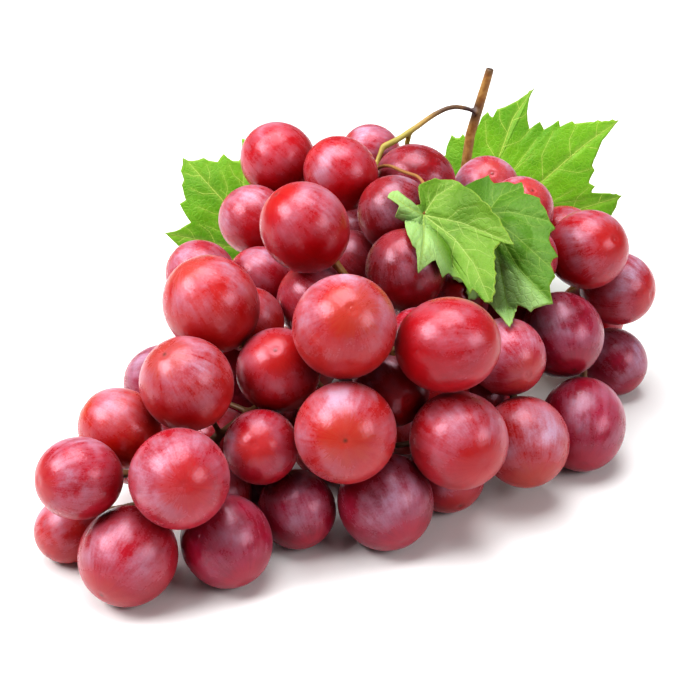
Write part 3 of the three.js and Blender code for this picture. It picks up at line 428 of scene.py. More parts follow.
class Graph:
    """A material's node tree, with short ways to add and join nodes."""

    def __init__(self, name):
        self.material = bpy.data.materials.new(name)
        self.material.use_nodes = True
        self.tree = self.material.node_tree
        self.shader = self.tree.nodes["Principled BSDF"]

    def add(self, kind, **settings):
        node = self.tree.nodes.new(kind)
        for key, value in settings.items():
            setattr(node, key, value)
        return node

    def feed(self, socket, source):
        if isinstance(source, bpy.types.NodeSocket):
            self.tree.links.new(source, socket)
        else:
            socket.default_value = source

    def attribute(self, name, output="Fac"):
        return self.add("ShaderNodeAttribute", attribute_name=name).outputs[output]

    def math(self, operation, *values):
        node = self.add("ShaderNodeMath", operation=operation)
        for socket, value in zip(node.inputs, values):
            self.feed(socket, value)
        return node.outputs[0]

    def times(self, first, second):
        return self.math("MULTIPLY", first, second)

    def plus(self, first, second):
        return self.math("ADD", first, second)

    def noise(self, vector, scale, detail=3.0, roughness=0.55):
        node = self.add("ShaderNodeTexNoise")
        self.feed(node.inputs["Vector"], vector)
        node.inputs["Scale"].default_value = scale
        node.inputs["Detail"].default_value = detail
        node.inputs["Roughness"].default_value = roughness
        return node.outputs["Fac"]

    def voronoi(self, vector, scale, feature="F1"):
        """How far off the nearest of many scattered places is, or the border between two."""
        node = self.add("ShaderNodeTexVoronoi", feature=feature)
        self.feed(node.inputs["Vector"], vector)
        node.inputs["Scale"].default_value = scale
        return node.outputs["Distance"]

    def ramp(self, value, low, high, to_low=0.0, to_high=1.0):
        """Maps low..high onto to_low..to_high, eased and held at both ends."""
        node = self.add("ShaderNodeMapRange", interpolation_type="SMOOTHSTEP")
        for key, number in (("From Min", low), ("From Max", high), ("To Min", to_low),
                            ("To Max", to_high)):
            node.inputs[key].default_value = number
        self.feed(node.inputs["Value"], value)
        return node.outputs["Result"]

    def mix(self, share, first, second):
        node = self.add("ShaderNodeMixRGB")
        self.feed(node.inputs["Fac"], share)
        for socket, colour in ((node.inputs["Color1"], first), (node.inputs["Color2"], second)):
            if isinstance(colour, tuple):
                colour = (*colour, 1.0)
            self.feed(socket, colour)
        return node.outputs["Color"]

    def bump(self, height, distance):
        node = self.add("ShaderNodeBump")
        node.inputs["Distance"].default_value = distance
        self.feed(node.inputs["Height"], height)
        self.feed(self.shader.inputs["Normal"], node.outputs["Normal"])

    def finish(self, colour, roughness, values):
        self.feed(self.shader.inputs["Base Color"], colour)
        self.feed(self.shader.inputs["Roughness"], roughness)
        for key, value in values.items():
            self.shader.inputs[key].default_value = value
        return self.material


def berry_material():
    g = Graph("grape_skin")
    local = g.attribute("local", "Vector")
    deep = g.attribute("deep", "Color")
    tip = g.attribute("tip")

    # Pale strokes run from the ends like meridians; blotches break them up.
    strokes = g.noise(g.attribute("around", "Vector"), 1.0, detail=5.0, roughness=0.65)
    combed = g.math("SUBTRACT", strokes, 0.5)
    blotches = g.noise(local, SKIN_MARKS["blotches"], detail=4.0, roughness=0.6)
    fine = g.noise(local, SKIN_MARKS["fine"], detail=2.0)
    thin = g.plus(g.times(strokes, THIN_SKIN["strokes"]),
                  g.times(blotches, THIN_SKIN["blotches"]))
    thin = g.plus(thin, g.times(g.math("SUBTRACT", fine, 0.5), THIN_SKIN["fine"]))
    skin = g.mix(g.ramp(thin, *THIN_RANGE), deep, g.attribute("light", "Color"))
    edge = g.plus(tip, g.times(combed, CLEAR_COMBED))
    clear = g.times(g.ramp(edge, *CLEAR_RANGES["edge"]), g.ramp(tip, *CLEAR_RANGES["inside"]))
    clear = g.times(clear, g.ramp(strokes, *CLEAR_RANGES["strokes"]))
    skin = g.mix(clear, skin, g.attribute("core", "Color"))
    # Painted shade: the skin turns to its dark tone where it nears another berry.
    skin = g.mix(g.times(g.attribute("pressed"), PAINTED_SHADE_DARK), skin, deep)

    # The wax lies in soft clouds, combed along the berry, with a fine grain in them.
    clouds = g.noise(local, SKIN_MARKS["clouds"], detail=4.0, roughness=0.58)
    grain = g.math("SUBTRACT", g.noise(local, SKIN_MARKS["grain"], detail=2.0), 0.5)
    bloom_and_highlight = g.plus(clouds, g.times(grain, WAX_CLOUDS["grain"]))
    bloom_and_highlight = g.plus(bloom_and_highlight, g.times(combed, WAX_CLOUDS["strokes"]))
    # The stored amount also holds a painted highlight on the upper side, in the wax's pale colour.
    bloom_and_highlight = g.times(g.ramp(bloom_and_highlight, *WAX_RANGE), g.attribute("wax_and_highlight"))
    bloom_and_highlight = g.times(bloom_and_highlight, g.ramp(clear, *CLEAR_RANGES["waxed"]))
    skin = g.mix(bloom_and_highlight, skin, BLOOM_AND_HIGHLIGHT_COLOUR)

    specks = g.ramp(g.voronoi(local, SKIN_MARKS["specks"]), *SPECKS["size"])
    where = g.ramp(g.noise(local, SKIN_MARKS["speckled"], detail=1.0), *SPECKS["where"])
    skin = g.mix(g.times(g.times(specks, where), SPECKS["share"]), skin, SPECK_COLOUR)
    skin = g.mix(g.attribute("scar"), skin, SCAR_COLOUR)
    g.bump(g.plus(g.times(fine, SKIN_RELIEF["fine"]), g.times(clouds, SKIN_RELIEF["clouds"])),
           SKIN_RELIEF["height"])
    return g.finish(skin, g.ramp(bloom_and_highlight, *BERRY_ROUGHNESS), BERRY_FINISH)


# Berries

def coarse_mesh(node):
    """The node's corners, each once, and for each the corners that it shares an edge with."""
    mesh = node.data
    places = {}
    index = []
    for vertex in mesh.vertices:
        key = tuple(round(c / SAME_CORNER) for c in vertex.co)
        index.append(places.setdefault(key, len(places)))
    corners = np.zeros((len(places), 3))
    for vertex, i in zip(mesh.vertices, index):
        corners[i] = vertex.co
    around = [set() for _ in places]
    for edge in mesh.edges:
        a, b = (index[i] for i in edge.vertices)
        if a != b:
            around[a].add(b)
            around[b].add(a)
    return corners, around


def find_berries(node, sides, bands):
    """Middle, axis, half width and half length of each berry, from its even end rings."""
    corners, around = coarse_mesh(node)
    step = math.pi / bands
    found = []
    for pole, ring in enumerate(around):
        if len(ring) != sides:
            continue
        rim = corners[list(ring)]
        centre = rim.mean(axis=0)
        spokes = np.linalg.norm(rim - centre, axis=1)
        inward = centre - corners[pole]
        drop = np.linalg.norm(inward)
        if np.ptp(spokes) > EVEN_RING * spokes.mean() or drop > spokes.mean():
            continue
        half = spokes.mean() / math.sin(step)
        long = drop / (1 - math.cos(step))
        middle = corners[pole] + inward / drop * long
        end = {"middle": middle, "axis": -inward / drop, "half": half, "long": long}
        if all(np.linalg.norm(middle - other["middle"]) > half / 2 for other in found):
            found.append(end)
    return found


def eased(x):
    """0 to 1, slowly at both ends."""
    return x ** 2 * (3 - 2 * x)


def fine_berry(berry, rng):
    """One berry, its blossom end at +axis: its share of a mesh, its round form, its turn."""
    angles = [math.radians(a) for a in BERRY_RINGS]
    unit = [(0.0, 0.0, -1.0)]
    for angle in angles:
        for k in range(BERRY_TURNS):
            turn = 2 * math.pi * k / BERRY_TURNS
            unit.append((math.sin(angle) * math.cos(turn), math.sin(angle) * math.sin(turn),
                         -math.cos(angle)))
    unit.append((0.0, 0.0, 1.0))
    unit = np.array(unit)
    polar = np.degrees(np.arccos(np.clip(-unit[:, 2], -1, 1)))

    seed = Vector((rng.uniform(0, 50), rng.uniform(0, 50), rng.uniform(0, 50)))
    lumps = np.array([noise.noise(Vector(p) * LUMPS_ACROSS + seed) for p in unit])
    size = 1 + BERRY_LUMPS * lumps
    body = unit * size[:, None] * np.array([berry["half"], berry["half"], berry["long"]])
    dimple = np.clip(1 - polar / STEM_DIMPLE["wide"], 0, 1)
    body[:, 2] += STEM_DIMPLE["depth"] * eased(dimple)
    from_tip = 180 - polar
    dent = np.clip(1 - from_tip / BLOSSOM_DIMPLE["wide"], 0, 1)
    body[:, 2] -= BLOSSOM_DIMPLE["depth"] * eased(dent)
    knob = np.clip(1 - from_tip / BLOSSOM_SCAR["wide"], 0, 1)
    body[:, 2] += BLOSSOM_SCAR["height"] * knob ** SCAR_ROUNDING

    turn = np.array(UP.rotation_difference(Vector(berry["axis"])).to_matrix())
    world = body @ turn.T + berry["middle"]
    world[:, 2] = np.maximum(world[:, 2], 0.0)

    faces = []
    last = len(unit) - 1
    top = last - BERRY_TURNS
    for k in range(BERRY_TURNS):
        after = (k + 1) % BERRY_TURNS
        faces += [(0, 1 + after, 1 + k), (last, top + k, top + after)]
    for low in range(1, top, BERRY_TURNS):
        faces += band(low, low + BERRY_TURNS, BERRY_TURNS)

    flat = np.hypot(unit[:, 0], unit[:, 1])
    spread = np.maximum(flat, 1e-3)
    around = np.stack([unit[:, 0] / spread * STROKES_ROUND, unit[:, 1] / spread * STROKES_ROUND,
                       unit[:, 2] * STROKES_ALONG], axis=1)
    scar = np.clip((BLOSSOM_SCAR["dark"] - from_tip) / BLOSSOM_SCAR["fade"], 0, 1)
    tip = np.clip((CLEAR_PATCH[1] - from_tip) / (CLEAR_PATCH[1] - CLEAR_PATCH[0]), 0, 1)
    return {"world": world, "faces": faces, "local": unit + np.array(seed),
            "around": around + np.array(seed), "scar": scar, "tip": tip}, unit, turn


def bloom_and_highlight_amount(unit, turn, wax_and_highlight, seed):
    """More wax on the shoulders than where berries rub together; a painted highlight on the upper
    side.
    """
    # Painted highlight: the upper side, where the light falls from above, gets more of the pale
    # colour.
    upward = (unit @ turn.T)[:, 2]
    from_tip = np.degrees(np.arccos(np.clip(unit[:, 2], -1, 1)))
    ring = np.exp(-(((from_tip - FROSTED_RING[0]) / FROSTED_RING[1]) ** 2))
    rubbed = np.array([noise.noise(Vector(p) * SKIN_MARKS["rubbed"] + Vector((seed, seed, 0)))
                       for p in unit])
    share = BLOOM_AND_HIGHLIGHT_SHARES
    amount = (share["all"] + share["upward"] * upward + share["ring"] * ring
              + share["rubbed"] * rubbed)
    return np.clip(wax_and_highlight * amount, 0, 1)


def pressed_amount(world, berry, berries):
    """1 where the skin touches another berry, falling to 0 a few millimetres off it: painted shade
    and rubbed-off wax.
    """
    free = np.ones(len(world))
    for other in berries:
        if other is berry:
            continue
        reach = berry["long"] + other["long"] + 4 * RUBBED_AND_SHADED_DEPTH
        if np.linalg.norm(other["middle"] - berry["middle"]) < reach:
            gap = np.linalg.norm(world - other["middle"], axis=1) - other["half"]
            free *= 1 - RUBBED_AND_SHADED_MOST * np.exp(-((np.maximum(gap, 0) / RUBBED_AND_SHADED_DEPTH) ** 2))
    return 1 - free


def joined(parts):
    """Several pairs of corners and faces as one."""
    faces = []
    start = 0
    for corners, polygons in parts:
        faces += [tuple(i + start for i in face) for face in polygons]
        start += len(corners)
    return np.concatenate([corners for corners, _ in parts]), faces


def dress_berries(name, berries, looks, every_berry, material, rng):
    parts = []
    for berry, (tone, wax_and_highlight) in zip(berries, looks):
        part, unit, turn = fine_berry(berry, rng)
        # Near another berry the wax is rubbed off and the skin is darkened with painted shade.
        pressed = pressed_amount(part["world"], berry, every_berry)
        shift = rng.uniform(*TONE_SHIFT)
        for key, colour in zip(("deep", "light", "core"), SKIN_TONES[tone]):
            part[key] = np.tile([*(c * shift for c in colour), 1], (len(unit), 1))
        part["scar"] = part["scar"] * (rng.random() < SCARRED)
        part["wax_and_highlight"] = bloom_and_highlight_amount(unit, turn, wax_and_highlight, rng.uniform(0, 40)) * (1 - pressed)
        part["pressed"] = pressed
        parts.append(part)
    mesh = new_mesh(name + "_skin", *joined([(p["world"], p["faces"]) for p in parts]))
    for kind, keys in (("FLOAT_VECTOR", ("local", "around")),
                       ("FLOAT", ("scar", "wax_and_highlight", "tip", "pressed")),
                       ("FLOAT_COLOR", ("deep", "light", "core"))):
        for key in keys:
            store(mesh, key, kind, np.concatenate([p[key] for p in parts]))
    add_piece(name + "_skin", mesh, [name], material)


def read_berries(stem_places):
    """The berries of each node, with the stem end of each towards the stem."""
    berries_of = {}
    for name, node in sorted(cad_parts.items()):
        if not name.startswith("berr"):
            continue
        coarse = NEAR_BERRY if name.startswith("berry_") else FAR_BERRY
        berries_of[name] = find_berries(node, **coarse)
        for berry in berries_of[name]:
            ends = [np.min(np.linalg.norm(stem_places - berry["middle"] - berry["axis"]
                                          * berry["long"] * sign, axis=1)) for sign in (1, -1)]
            if ends[0] < ends[1]:
                berry["axis"] = -berry["axis"]
    return berries_of


stem_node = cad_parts["stem"]
berries_of = read_berries(np.array([v.co for v in stem_node.data.vertices]))
all_berries = [berry for berries in berries_of.values() for berry in berries]
skin = berry_material()
rng = random.Random(SEED)
for name, berries in berries_of.items():
    if name.startswith("berry_"):
        looks = [BERRY_LOOKS[int(name[-2:]) - 1]]
    else:
        looks = [(rng.choice(FAR_TONES), rng.uniform(*FAR_BLOOM_AND_HIGHLIGHT)) for _ in berries]
    dress_berries(name, berries, looks, all_berries, skin, rng)


# Leaves

def depth_clear_of_berries(u, v, opened, berries):
    """Depths moved along their lines of sight, off every berry that they would run into."""
    across = (u - VIEW_MIDDLE) / EYE_FOCUS
    upward = (VIEW_MIDDLE - v) / EYE_FOCUS
    lines = (np.array(SIGHT) + across[:, None] * np.array(RIGHT)
             + upward[:, None] * np.array(VIEW_UP))
    per_depth = np.linalg.norm(lines, axis=1)
    lines /= per_depth[:, None]
    depth = opened.copy()
    for berry in berries:
        start = (berry["middle"] - np.array(EYE)) / MM
        deep = lines @ start
        room = berry["long"] / MM + LEAF_GAP
        aside = np.sqrt(np.maximum(0, start @ start - deep ** 2))
        half = np.sqrt(np.maximum(0, room ** 2 - aside ** 2))
        behind = opened * per_depth > deep + LEAF_BEHIND
        pushed = np.where(behind, np.maximum(depth, (deep + half) / per_depth),
                          np.minimum(depth, (deep - half) / per_depth))
        depth = np.where(aside < room, pushed, depth)
    return depth


def leaf_depth(name, u, v, berries):
    leaf = LEAVES[name]
    right = u - leaf["joint"][0]
    down = v - leaf["joint"][1]
    opened = (leaf["depth"] + leaf["slope"][0] * right + leaf["slope"][1] * down
              + leaf["cup"] * (right ** 2 + down ** 2))
    depth = depth_clear_of_berries(u, v, opened, berries)
    if "over" in leaf:
        depth = np.minimum(depth, leaf_depth(leaf["over"], u, v, berries) - LEAF_OVER_GAP)
    return depth


def toothed(edge, joint):
    """The outline, and how far each of its points stands out in a second, small tooth."""
    points = []
    teeth = []
    for here, after in zip(edge, edge[1:] + edge[:1]):
        a, b = np.array(here), np.array(after)
        side = np.array((b[1] - a[1], a[0] - b[0]))
        if side @ ((a + b) / 2 - np.array(joint)) < 0:
            side = -side
        if np.linalg.norm(side) < TOOTHED_FROM:
            side = side * 0
        for k, swell in enumerate(TEETH):
            points.append(a + (b - a) * k / len(TEETH))
            teeth.append(side * swell)
    return np.array(points), np.array(teeth)


def side_veins(main):
    """Veins that branch off a main vein, on one side and the other by turns."""
    path = np.array(main, dtype=float)
    steps = np.linalg.norm(np.diff(path, axis=0), axis=1)
    length = steps.sum()
    veins = []
    side = 1
    for share in SIDE_VEINS:
        walked = share * length
        k = 0
        while k < len(steps) - 1 and walked > steps[k]:
            walked -= steps[k]
            k += 1
        ahead = (path[k + 1] - path[k]) / steps[k]
        start = path[k] + ahead * walked
        aside = np.array((-ahead[1], ahead[0])) * side
        reach = length * SIDE_VEIN_LENGTH * (SIDE_VEINS_END - share)
        bend = start + (ahead * SIDE_VEIN_BEND[0] + aside * SIDE_VEIN_BEND[1]) * reach / 2
        end = start + (ahead * SIDE_VEIN_TIP[0] + aside * SIDE_VEIN_TIP[1]) * reach
        veins.append([start, bend, end])
        side = -side
    return veins


def veins_of(leaf):
    """The main veins from the joint on, and the side veins of all of them."""
    mains = [[leaf["joint"], *vein] for vein in leaf["veins"]]
    return mains, [vein for main in mains for vein in side_veins(main)]


def walk(path, step):
    """Points along a path of straight pieces, about step apart, then smoothed."""
    path = [np.array(p, dtype=float) for p in path]
    points = []
    for a, b in zip(path, path[1:]):
        count = max(2, int(np.linalg.norm(b - a) / step))
        points += [a + (b - a) * k / count for k in range(count)]
    points.append(path[-1])
    points = np.array(points)
    for _ in range(VEIN_SMOOTHING):
        points[1:-1] = (points[:-2] + 2 * points[1:-1] + points[2:]) / 4
    return points


def near_veins(places, veins, width):
    """1 on the veins, falling to 0 at about twice the width from them."""
    amount = np.zeros(len(places))
    for vein in veins:
        for point in walk(vein, DIP_STEP):
            away = np.linalg.norm(places - point, axis=1)
            amount = np.maximum(amount, np.exp(-((away / width) ** 2)))
    return amount


def pale_amount(places, line):
    """1 on the side of a line where a leaf's waxy underside is turned up, 0 on the other."""
    if line is None:
        return np.zeros(len(places))
    (au, av), (bu, bv) = line
    across = (bu - au) * (places[:, 1] - av) - (bv - av) * (places[:, 0] - au)
    return np.clip(0.5 + across / math.hypot(bu - au, bv - av) / PALE_FADE, 0, 1)


def vertex_normals(points, faces):
    normals = np.zeros_like(points)
    tri = np.array([face[:3] for face in faces])
    cross = np.cross(points[tri[:, 1]] - points[tri[:, 0]], points[tri[:, 2]] - points[tri[:, 0]])
    for corner in range(3):
        np.add.at(normals, tri[:, corner], cross)
    return normals / np.maximum(np.linalg.norm(normals, axis=1), 1e-12)[:, None]


def blade(name, berries):
    """Middle surface of a leaf: points, faces, view places and the share of the way out."""
    leaf = LEAVES[name]
    joint = np.array(leaf["joint"], dtype=float)
    rim, teeth = toothed(leaf["edge"], joint)
    count = len(rim)
    rings = [(k / LEAF_RINGS) ** RING_POWER for k in range(1, LEAF_RINGS + 1)]
    places = np.concatenate([joint[None, :]] + [
        joint + (rim - joint) * t + teeth * t ** TOOTH_DEPTH for t in rings])
    shares = np.concatenate([[0.0]] + [np.full(count, t) for t in rings])
    u, v = places[:, 0], places[:, 1]
    around = np.arctan2(v - joint[1], u - joint[0])
    depth = leaf_depth(name, u, v, berries)
    depth = depth + LEAF_WAVE * np.sin(LEAF_WAVES * around) * shares ** 2
    points = np.array([at_depth(*p) for p in zip(u, v, depth)])
    faces = []
    for k in range(count):
        after = (k + 1) % count
        faces.append((0, 1 + k, 1 + after))
        for ring in range(LEAF_RINGS - 1):
            low = 1 + ring * count
            high = low + count
            faces.append((low + k, high + k, high + after, low + after))
    return points, faces, places, shares, count


def ribbon(path, surface, widths, raised, front):
    """A vein: a low ridge along the surface, seen from the eye or from the other side."""
    rows = []
    for (u, v), width in zip(path, widths):
        line = (at_depth(u, v, 1000) - EYE).normalized()
        start, aim = (EYE, line) if front else (EYE + line * BEHIND_LEAVES, -line)
        hit, normal, _, _ = surface.ray_cast(start, aim)
        if hit is None:
            if len(rows) > 2:
                break
            continue
        if normal.dot(aim) > 0:
            normal = -normal
        rows.append((hit, normal, width))
    vertices, faces = [], []
    for i, (hit, normal, width) in enumerate(rows):
        before = rows[max(0, i - 1)][0]
        after = rows[min(len(rows) - 1, i + 1)][0]
        side = (after - before).cross(normal)
        side = side.normalized() if side.length > 0 else RIGHT
        taper = 1.0 if i < len(rows) - 1 else VEIN_TIP
        foot = hit - normal * raised * VEIN_SUNK
        vertices += [foot - side * width * taper, hit + normal * raised * taper,
                     foot + side * width * taper]
        if i:
            low = 3 * (i - 1)
            faces += [(low, low + 1, low + 4, low + 3), (low + 1, low + 2, low + 5, low + 4)]
    return vertices, faces


def tube(path, widths, sides=10):
    """A closed round stalk along a path."""
    across = FIRST_SPOKE
    vertices, faces = [], []
    for i, (point, width) in enumerate(zip(path, widths)):
        along = (path[min(i + 1, len(path) - 1)] - path[max(i - 1, 0)]).normalized()
        across = (across - along * across.dot(along)).normalized()
        other = along.cross(across)
        for k in range(sides):
            turn = 2 * math.pi * k / sides
            vertices.append(point + (across * math.cos(turn) + other * math.sin(turn)) * width / 2)
        if i:
            faces += band((i - 1) * sides, i * sides, sides)
    faces += [tuple(range(sides - 1, -1, -1)), tuple(range(len(vertices) - sides, len(vertices)))]
    return vertices, faces


def petiole_path(name, joint_place, berries, stem_surface):
    """From the joint to just outside the stalk that it grew on, bent clear of the berries."""
    route = [joint_place] + [at_depth(*p) for p in LEAVES[name]["petiole"]]
    foot = stem_surface.find_nearest(route[-1])[0]
    route.append(foot + (route[-1] - foot).normalized() * PETIOLE_WIDTH * PETIOLE_FOOT)
    path = [Vector(p) for p in walk(route, PETIOLE_STEP)]
    for _ in range(PETIOLE_ROUNDS):
        for i in range(1, len(path) - 1):
            for berry in berries:
                out = path[i] - Vector(berry["middle"])
                short = berry["long"] + PETIOLE_WIDTH / 2 + PETIOLE_ROOM - out.length
                if short > 0:
                    path[i] = path[i] + out.normalized() * short
        for i in range(1, len(path) - 1):
            path[i] = path[i].lerp((path[i - 1] + path[i + 1]) / 2, PETIOLE_EASE)
    return path


def leaf_body(name, berries):
    """The blade with both its sides and its rim: corners, faces and values, and the joint."""
    leaf = LEAVES[name]
    middle, faces, places, shares, count = blade(name, berries)
    mains, sides = veins_of(leaf)
    dip = near_veins(places, mains, DIP_WIDTHS["main"])
    dip_side = near_veins(places, sides, DIP_WIDTHS["side"])
    normals = vertex_normals(middle, faces)
    towards = np.sign(np.sum(normals * (np.array(EYE) - middle), axis=1).mean())
    normals = normals * towards
    pucker = np.array([noise.noise(Vector(p) * PUCKERS_PER_METRE) for p in middle])
    rise = (PUCKER * (pucker + PUCKER_LIFT) * (1 - dip) - VEIN_DIP * dip
            - SIDE_DIP * VEIN_DIP * dip_side) * np.minimum(1, shares / SWELLS_WITHIN)
    middle = middle + normals * rise[:, None]
    half = normals * (LEAF_THICKNESS * (1 - LEAF_THINNED * shares))[:, None] / 2
    other = len(middle)
    rim = other - count
    turned = faces if towards > 0 else [tuple(reversed(f)) for f in faces]
    body = turned + [tuple(i + other for i in reversed(f)) for f in turned]
    for k in range(count):
        here, after = rim + k, rim + (k + 1) % count
        body.append((here, here + other, after + other, after) if towards > 0
                    else (after, after + other, here + other, here))
    values = {
        **PLAIN,
        "near": np.tile(np.maximum(dip, LEAF_SHARES["side"] * dip_side), 2),
        "rim": np.tile(shares, 2),
        "under": np.concatenate([np.zeros(other), np.ones(other)]),
        "pale": np.tile(pale_amount(places, leaf.get("pale")), 2),
    }
    return np.concatenate([middle + half, middle - half]), body, values, Vector(middle[0])


def leaf_veins(leaf, surface):
    """Corners, faces and values of each ridge, on both sides of the blade."""
    parts = []
    mains, sides = veins_of(leaf)
    for is_front in (True, False):
        for veins, wide, raised in ((mains, MAIN_VEIN, VEIN_RAISED),
                                    (sides, SIDE_VEIN, VEIN_RAISED * SIDE_RAISED)):
            for vein in veins:
                path = walk(vein, RIDGE_STEP)
                widths = np.linspace(wide[0], wide[1], len(path))
                lift = raised if is_front else UNDER_RAISED * raised
                vertices, ribs = ribbon(path, surface, widths, lift, is_front)
                if len(vertices) > 6:
                    parts.append((np.array(vertices), ribs,
                                  {**PLAIN, "vein": 1.0, "near": 1.0, "rim": 0.5}))
    return parts


def petiole(name, joint, berries, stem_surface):
    """The leaf's stalk, wider over its first three steps and its last four."""
    path = petiole_path(name, joint, berries, stem_surface)
    widths = []
    for i in range(len(path)):
        ends = max(0, 1 - i / 3) + max(0, 1 - (len(path) - i) / 4)
        widths.append(PETIOLE_WIDTH * (1 + PETIOLE_ENDS * ends))
    vertices, faces = tube(path, widths)
    return np.array(vertices), faces, {**PLAIN, "vein": 1.0, "near": 1.0, "stalk": 1.0}


def dress_leaf(name, berries, stem_surface, material):
    corners, body, values, joint = leaf_body(name, berries)
    surface = BVHTree.FromPolygons([Vector(p) for p in corners], body)
    parts = [(corners, body, values)] + leaf_veins(LEAVES[name], surface)
    parts.append(petiole(name, joint, berries, stem_surface))
    mesh = new_mesh(name + "_blade", *joined([part[:2] for part in parts]))
    for key in PLAIN:
        store(mesh, key, "FLOAT", np.concatenate(
            [np.broadcast_to(given[key], len(points)) for points, _, given in parts]))
    add_piece(name + "_blade", mesh, [name], material)


def leaf_material(name):
    base, shade, vein_colour = LEAF_TONES[name]
    g = Graph(name)
    places = g.add("ShaderNodeTexCoord").outputs["Object"]
    broad = g.noise(places, LEAF_MARKS["broad"])
    grain = g.noise(places, LEAF_MARKS["grain"])
    net = g.ramp(g.voronoi(places, LEAF_MARKS["net"], "DISTANCE_TO_EDGE"), *LEAF_RANGES["net"])
    pale = g.times(g.attribute("pale"), LEAF_SHARES["pale"])
    under = g.times(g.attribute("under"), LEAF_SHARES["under"])

    tone = g.mix(g.ramp(broad, *LEAF_RANGES["broad"]), base, shade)
    tone = g.mix(g.times(g.ramp(grain, *LEAF_RANGES["grain"]), LEAF_SHARES["grain"]), tone, shade)
    tone = g.mix(g.times(net, LEAF_SHARES["net"]), tone, vein_colour)
    tone = g.mix(pale, tone, PALE_COLOUR)
    for key in ("near", "vein"):
        tone = g.mix(g.times(g.attribute(key), LEAF_SHARES[key]), tone, vein_colour)
    tone = g.mix(g.attribute("stalk"), tone, STALK_COLOUR)
    tone = g.mix(g.ramp(g.attribute("rim"), *LEAF_RANGES["edge"]), tone, LEAF_EDGE_COLOUR)
    tone = g.mix(under, tone, UNDERSIDE_COLOUR)
    g.bump(g.math("SUBTRACT", g.times(grain, LEAF_SHARES["raised"]), net), LEAF_RELIEF)
    return g.finish(tone, g.ramp(grain, *LEAF_RANGES["roughness"]), LEAF_FINISH)


stem_surface = BVHTree.FromPolygons([v.co for v in stem_node.data.vertices],
                                    [tuple(p.vertices) for p in stem_node.data.polygons])
leaf_materials = {name: leaf_material(name) for name in LEAF_TONES}
for name, slot in LEAF_SLOTS.items():
    dress_leaf(name, all_berries, stem_surface, leaf_materials[slot])


# Stem

def stem_material():
    g = Graph("stem_bark")
    places = g.add("ShaderNodeTexCoord").outputs["Object"]
    streaks = g.noise(places, STEM_MARKS["streaks"], detail=4, roughness=0.6)
    broad = g.noise(places, STEM_MARKS["broad"], detail=2)
    dots = g.ramp(g.voronoi(places, STEM_MARKS["dots"]), *STEM_RANGES["dots"])
    green = g.times(g.attribute("green"), g.ramp(broad, *STEM_RANGES["green"]))
    bark = g.mix(g.ramp(streaks, *STEM_RANGES["streaks"]), *STEM_TONES["bark"])
    for share, tone in ((green, "green"), (g.attribute("inner_shade"), "inner_shade"),
                        (g.attribute("collar"), "collar"),
                        (g.times(dots, STEM_DOTS["dark"]), "collar"), (g.attribute("cut"), "cut")):
        bark = g.mix(share, bark, STEM_TONES[tone])
    g.bump(g.plus(streaks, g.times(dots, STEM_DOTS["raised"])), STEM_RELIEF)
    return g.finish(bark, g.ramp(streaks, *STEM_RANGES["roughness"]), {})


def nearness(points, place, reach):
    """1 at a place, falling to 0 at a distance of reach."""
    away = np.linalg.norm(points - np.array(place), axis=1)
    return np.clip(REACH_PEAK * (1 - away / reach), 0, 1)


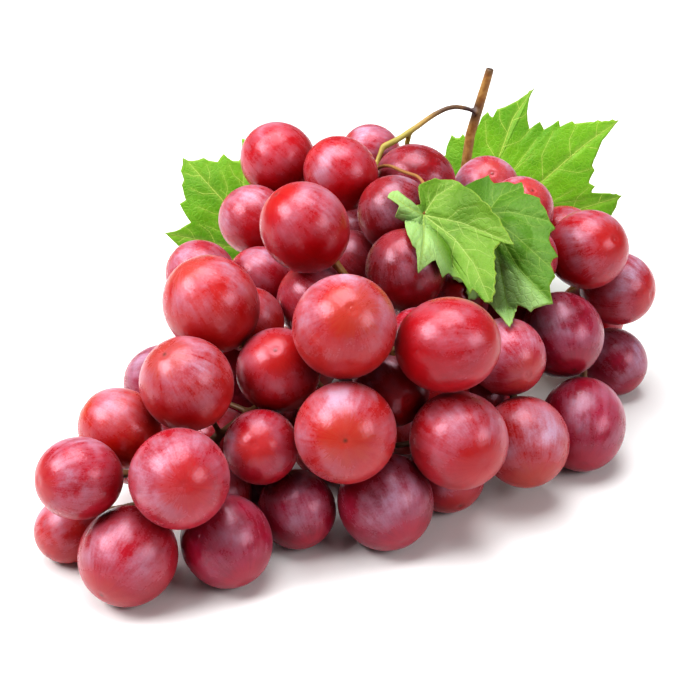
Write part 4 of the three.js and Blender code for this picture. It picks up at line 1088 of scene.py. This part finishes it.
def dress_stem():
    """The coarse stem made round and knotty: swollen a little, remeshed and smoothed."""
    rough = add_object("stem_rough", stem_node.data.copy())
    grow = rough.modifiers.new("grow", "DISPLACE")
    grow.strength = STEM_SWELL
    grow.mid_level = 0
    remesh = rough.modifiers.new("remesh", "REMESH")
    remesh.mode = "VOXEL"
    remesh.voxel_size = STEM_VOXEL
    smooth = rough.modifiers.new("smooth", "SMOOTH")
    smooth.factor = STEM_SMOOTHING["share"]
    smooth.iterations = STEM_SMOOTHING["rounds"]
    fine = rough.evaluated_get(bpy.context.evaluated_depsgraph_get()).to_mesh()
    points = np.array([v.co for v in fine.vertices])
    faces = [tuple(p.vertices) for p in fine.polygons]
    normals = np.array([v.normal for v in fine.vertices])
    bpy.data.objects.remove(rough)
    knots = np.array([noise.noise(Vector(p) * KNOTS_PER_METRE) for p in points])
    points = points + normals * (knots * STEM_KNOTS)[:, None]
    mesh = new_mesh("stem_bark", points, faces)
    green = nearness(points, at_depth(*WING_KNOT), GREEN_REACH)
    collar = nearness(points, at_depth(*COLLAR), COLLAR_REACH)
    bend = nearness(points, at_depth(*WING_BEND), BEND_REACH)
    # Painted shade: the lower a stalk lies inside the bunch, the darker it is.
    inner_shade = np.clip((INNER_HEIGHT - points[:, 2]) / INNER_FADE, 0, 1)
    store(mesh, "green", "FLOAT", green)
    store(mesh, "inner_shade", "FLOAT", INNER_SHADE_DARK * inner_shade * (1 - green))
    store(mesh, "collar", "FLOAT", np.maximum(collar, BEND_DARK * bend))
    store(mesh, "cut", "FLOAT", nearness(points, at_depth(*PEDUNCLE_TOP), CUT_REACH))
    add_piece("stem_bark", mesh, ["stem"], stem_material())


dress_stem()


# Stage, light and camera

def stage():
    corners = [(-1, -1), (1, -1), (1, 1), (-1, 1)]
    mesh = new_mesh("floor", [(x * FLOOR_HALF, y * FLOOR_HALF, 0) for x, y in corners],
                    [(0, 1, 2, 3)], smooth=False)
    floor = add_object("floor", mesh)
    mesh.materials.append(Graph("pale_floor").finish(FLOOR_COLOUR, FLOOR_ROUGHNESS, {}))
    world = bpy.data.worlds.new("studio")
    bpy.context.scene.world = world
    world.use_nodes = True
    sky = world.node_tree.nodes["Background"].inputs
    sky["Color"].default_value = (1, 1, 1, 1)
    sky["Strength"].default_value = WORLD_LIGHT


def softbox(name, place, size, power):
    light = bpy.data.lights.new(name, "AREA")
    light.shape = "RECTANGLE"
    light.size, light.size_y = size
    light.energy = power
    lamp = add_object(name, light)
    lamp.location = place
    lamp.rotation_euler = (Vector(BUNCH_MIDDLE) - place).to_track_quat("-Z", "Y").to_euler()


def camera():
    data = bpy.data.cameras.new("camera")
    data.sensor_width = SENSOR
    data.lens = EYE_FOCUS / IMAGE_SIZE * SENSOR
    data.clip_start = CLIP_START
    eye = add_object("camera", data)
    eye.location = EYE
    eye.rotation_euler = SIGHT.to_track_quat("-Z", "Y").to_euler()
    bpy.context.scene.camera = eye


bpy.context.scene.view_settings.view_transform = "Standard"
bpy.context.scene.view_settings.look = "Medium High Contrast"
stage()
for name, (right, ahead, up, size, power) in SOFTBOXES.items():
    softbox(name, RIGHT * right + AHEAD * ahead + UP * up, size, power)
camera()
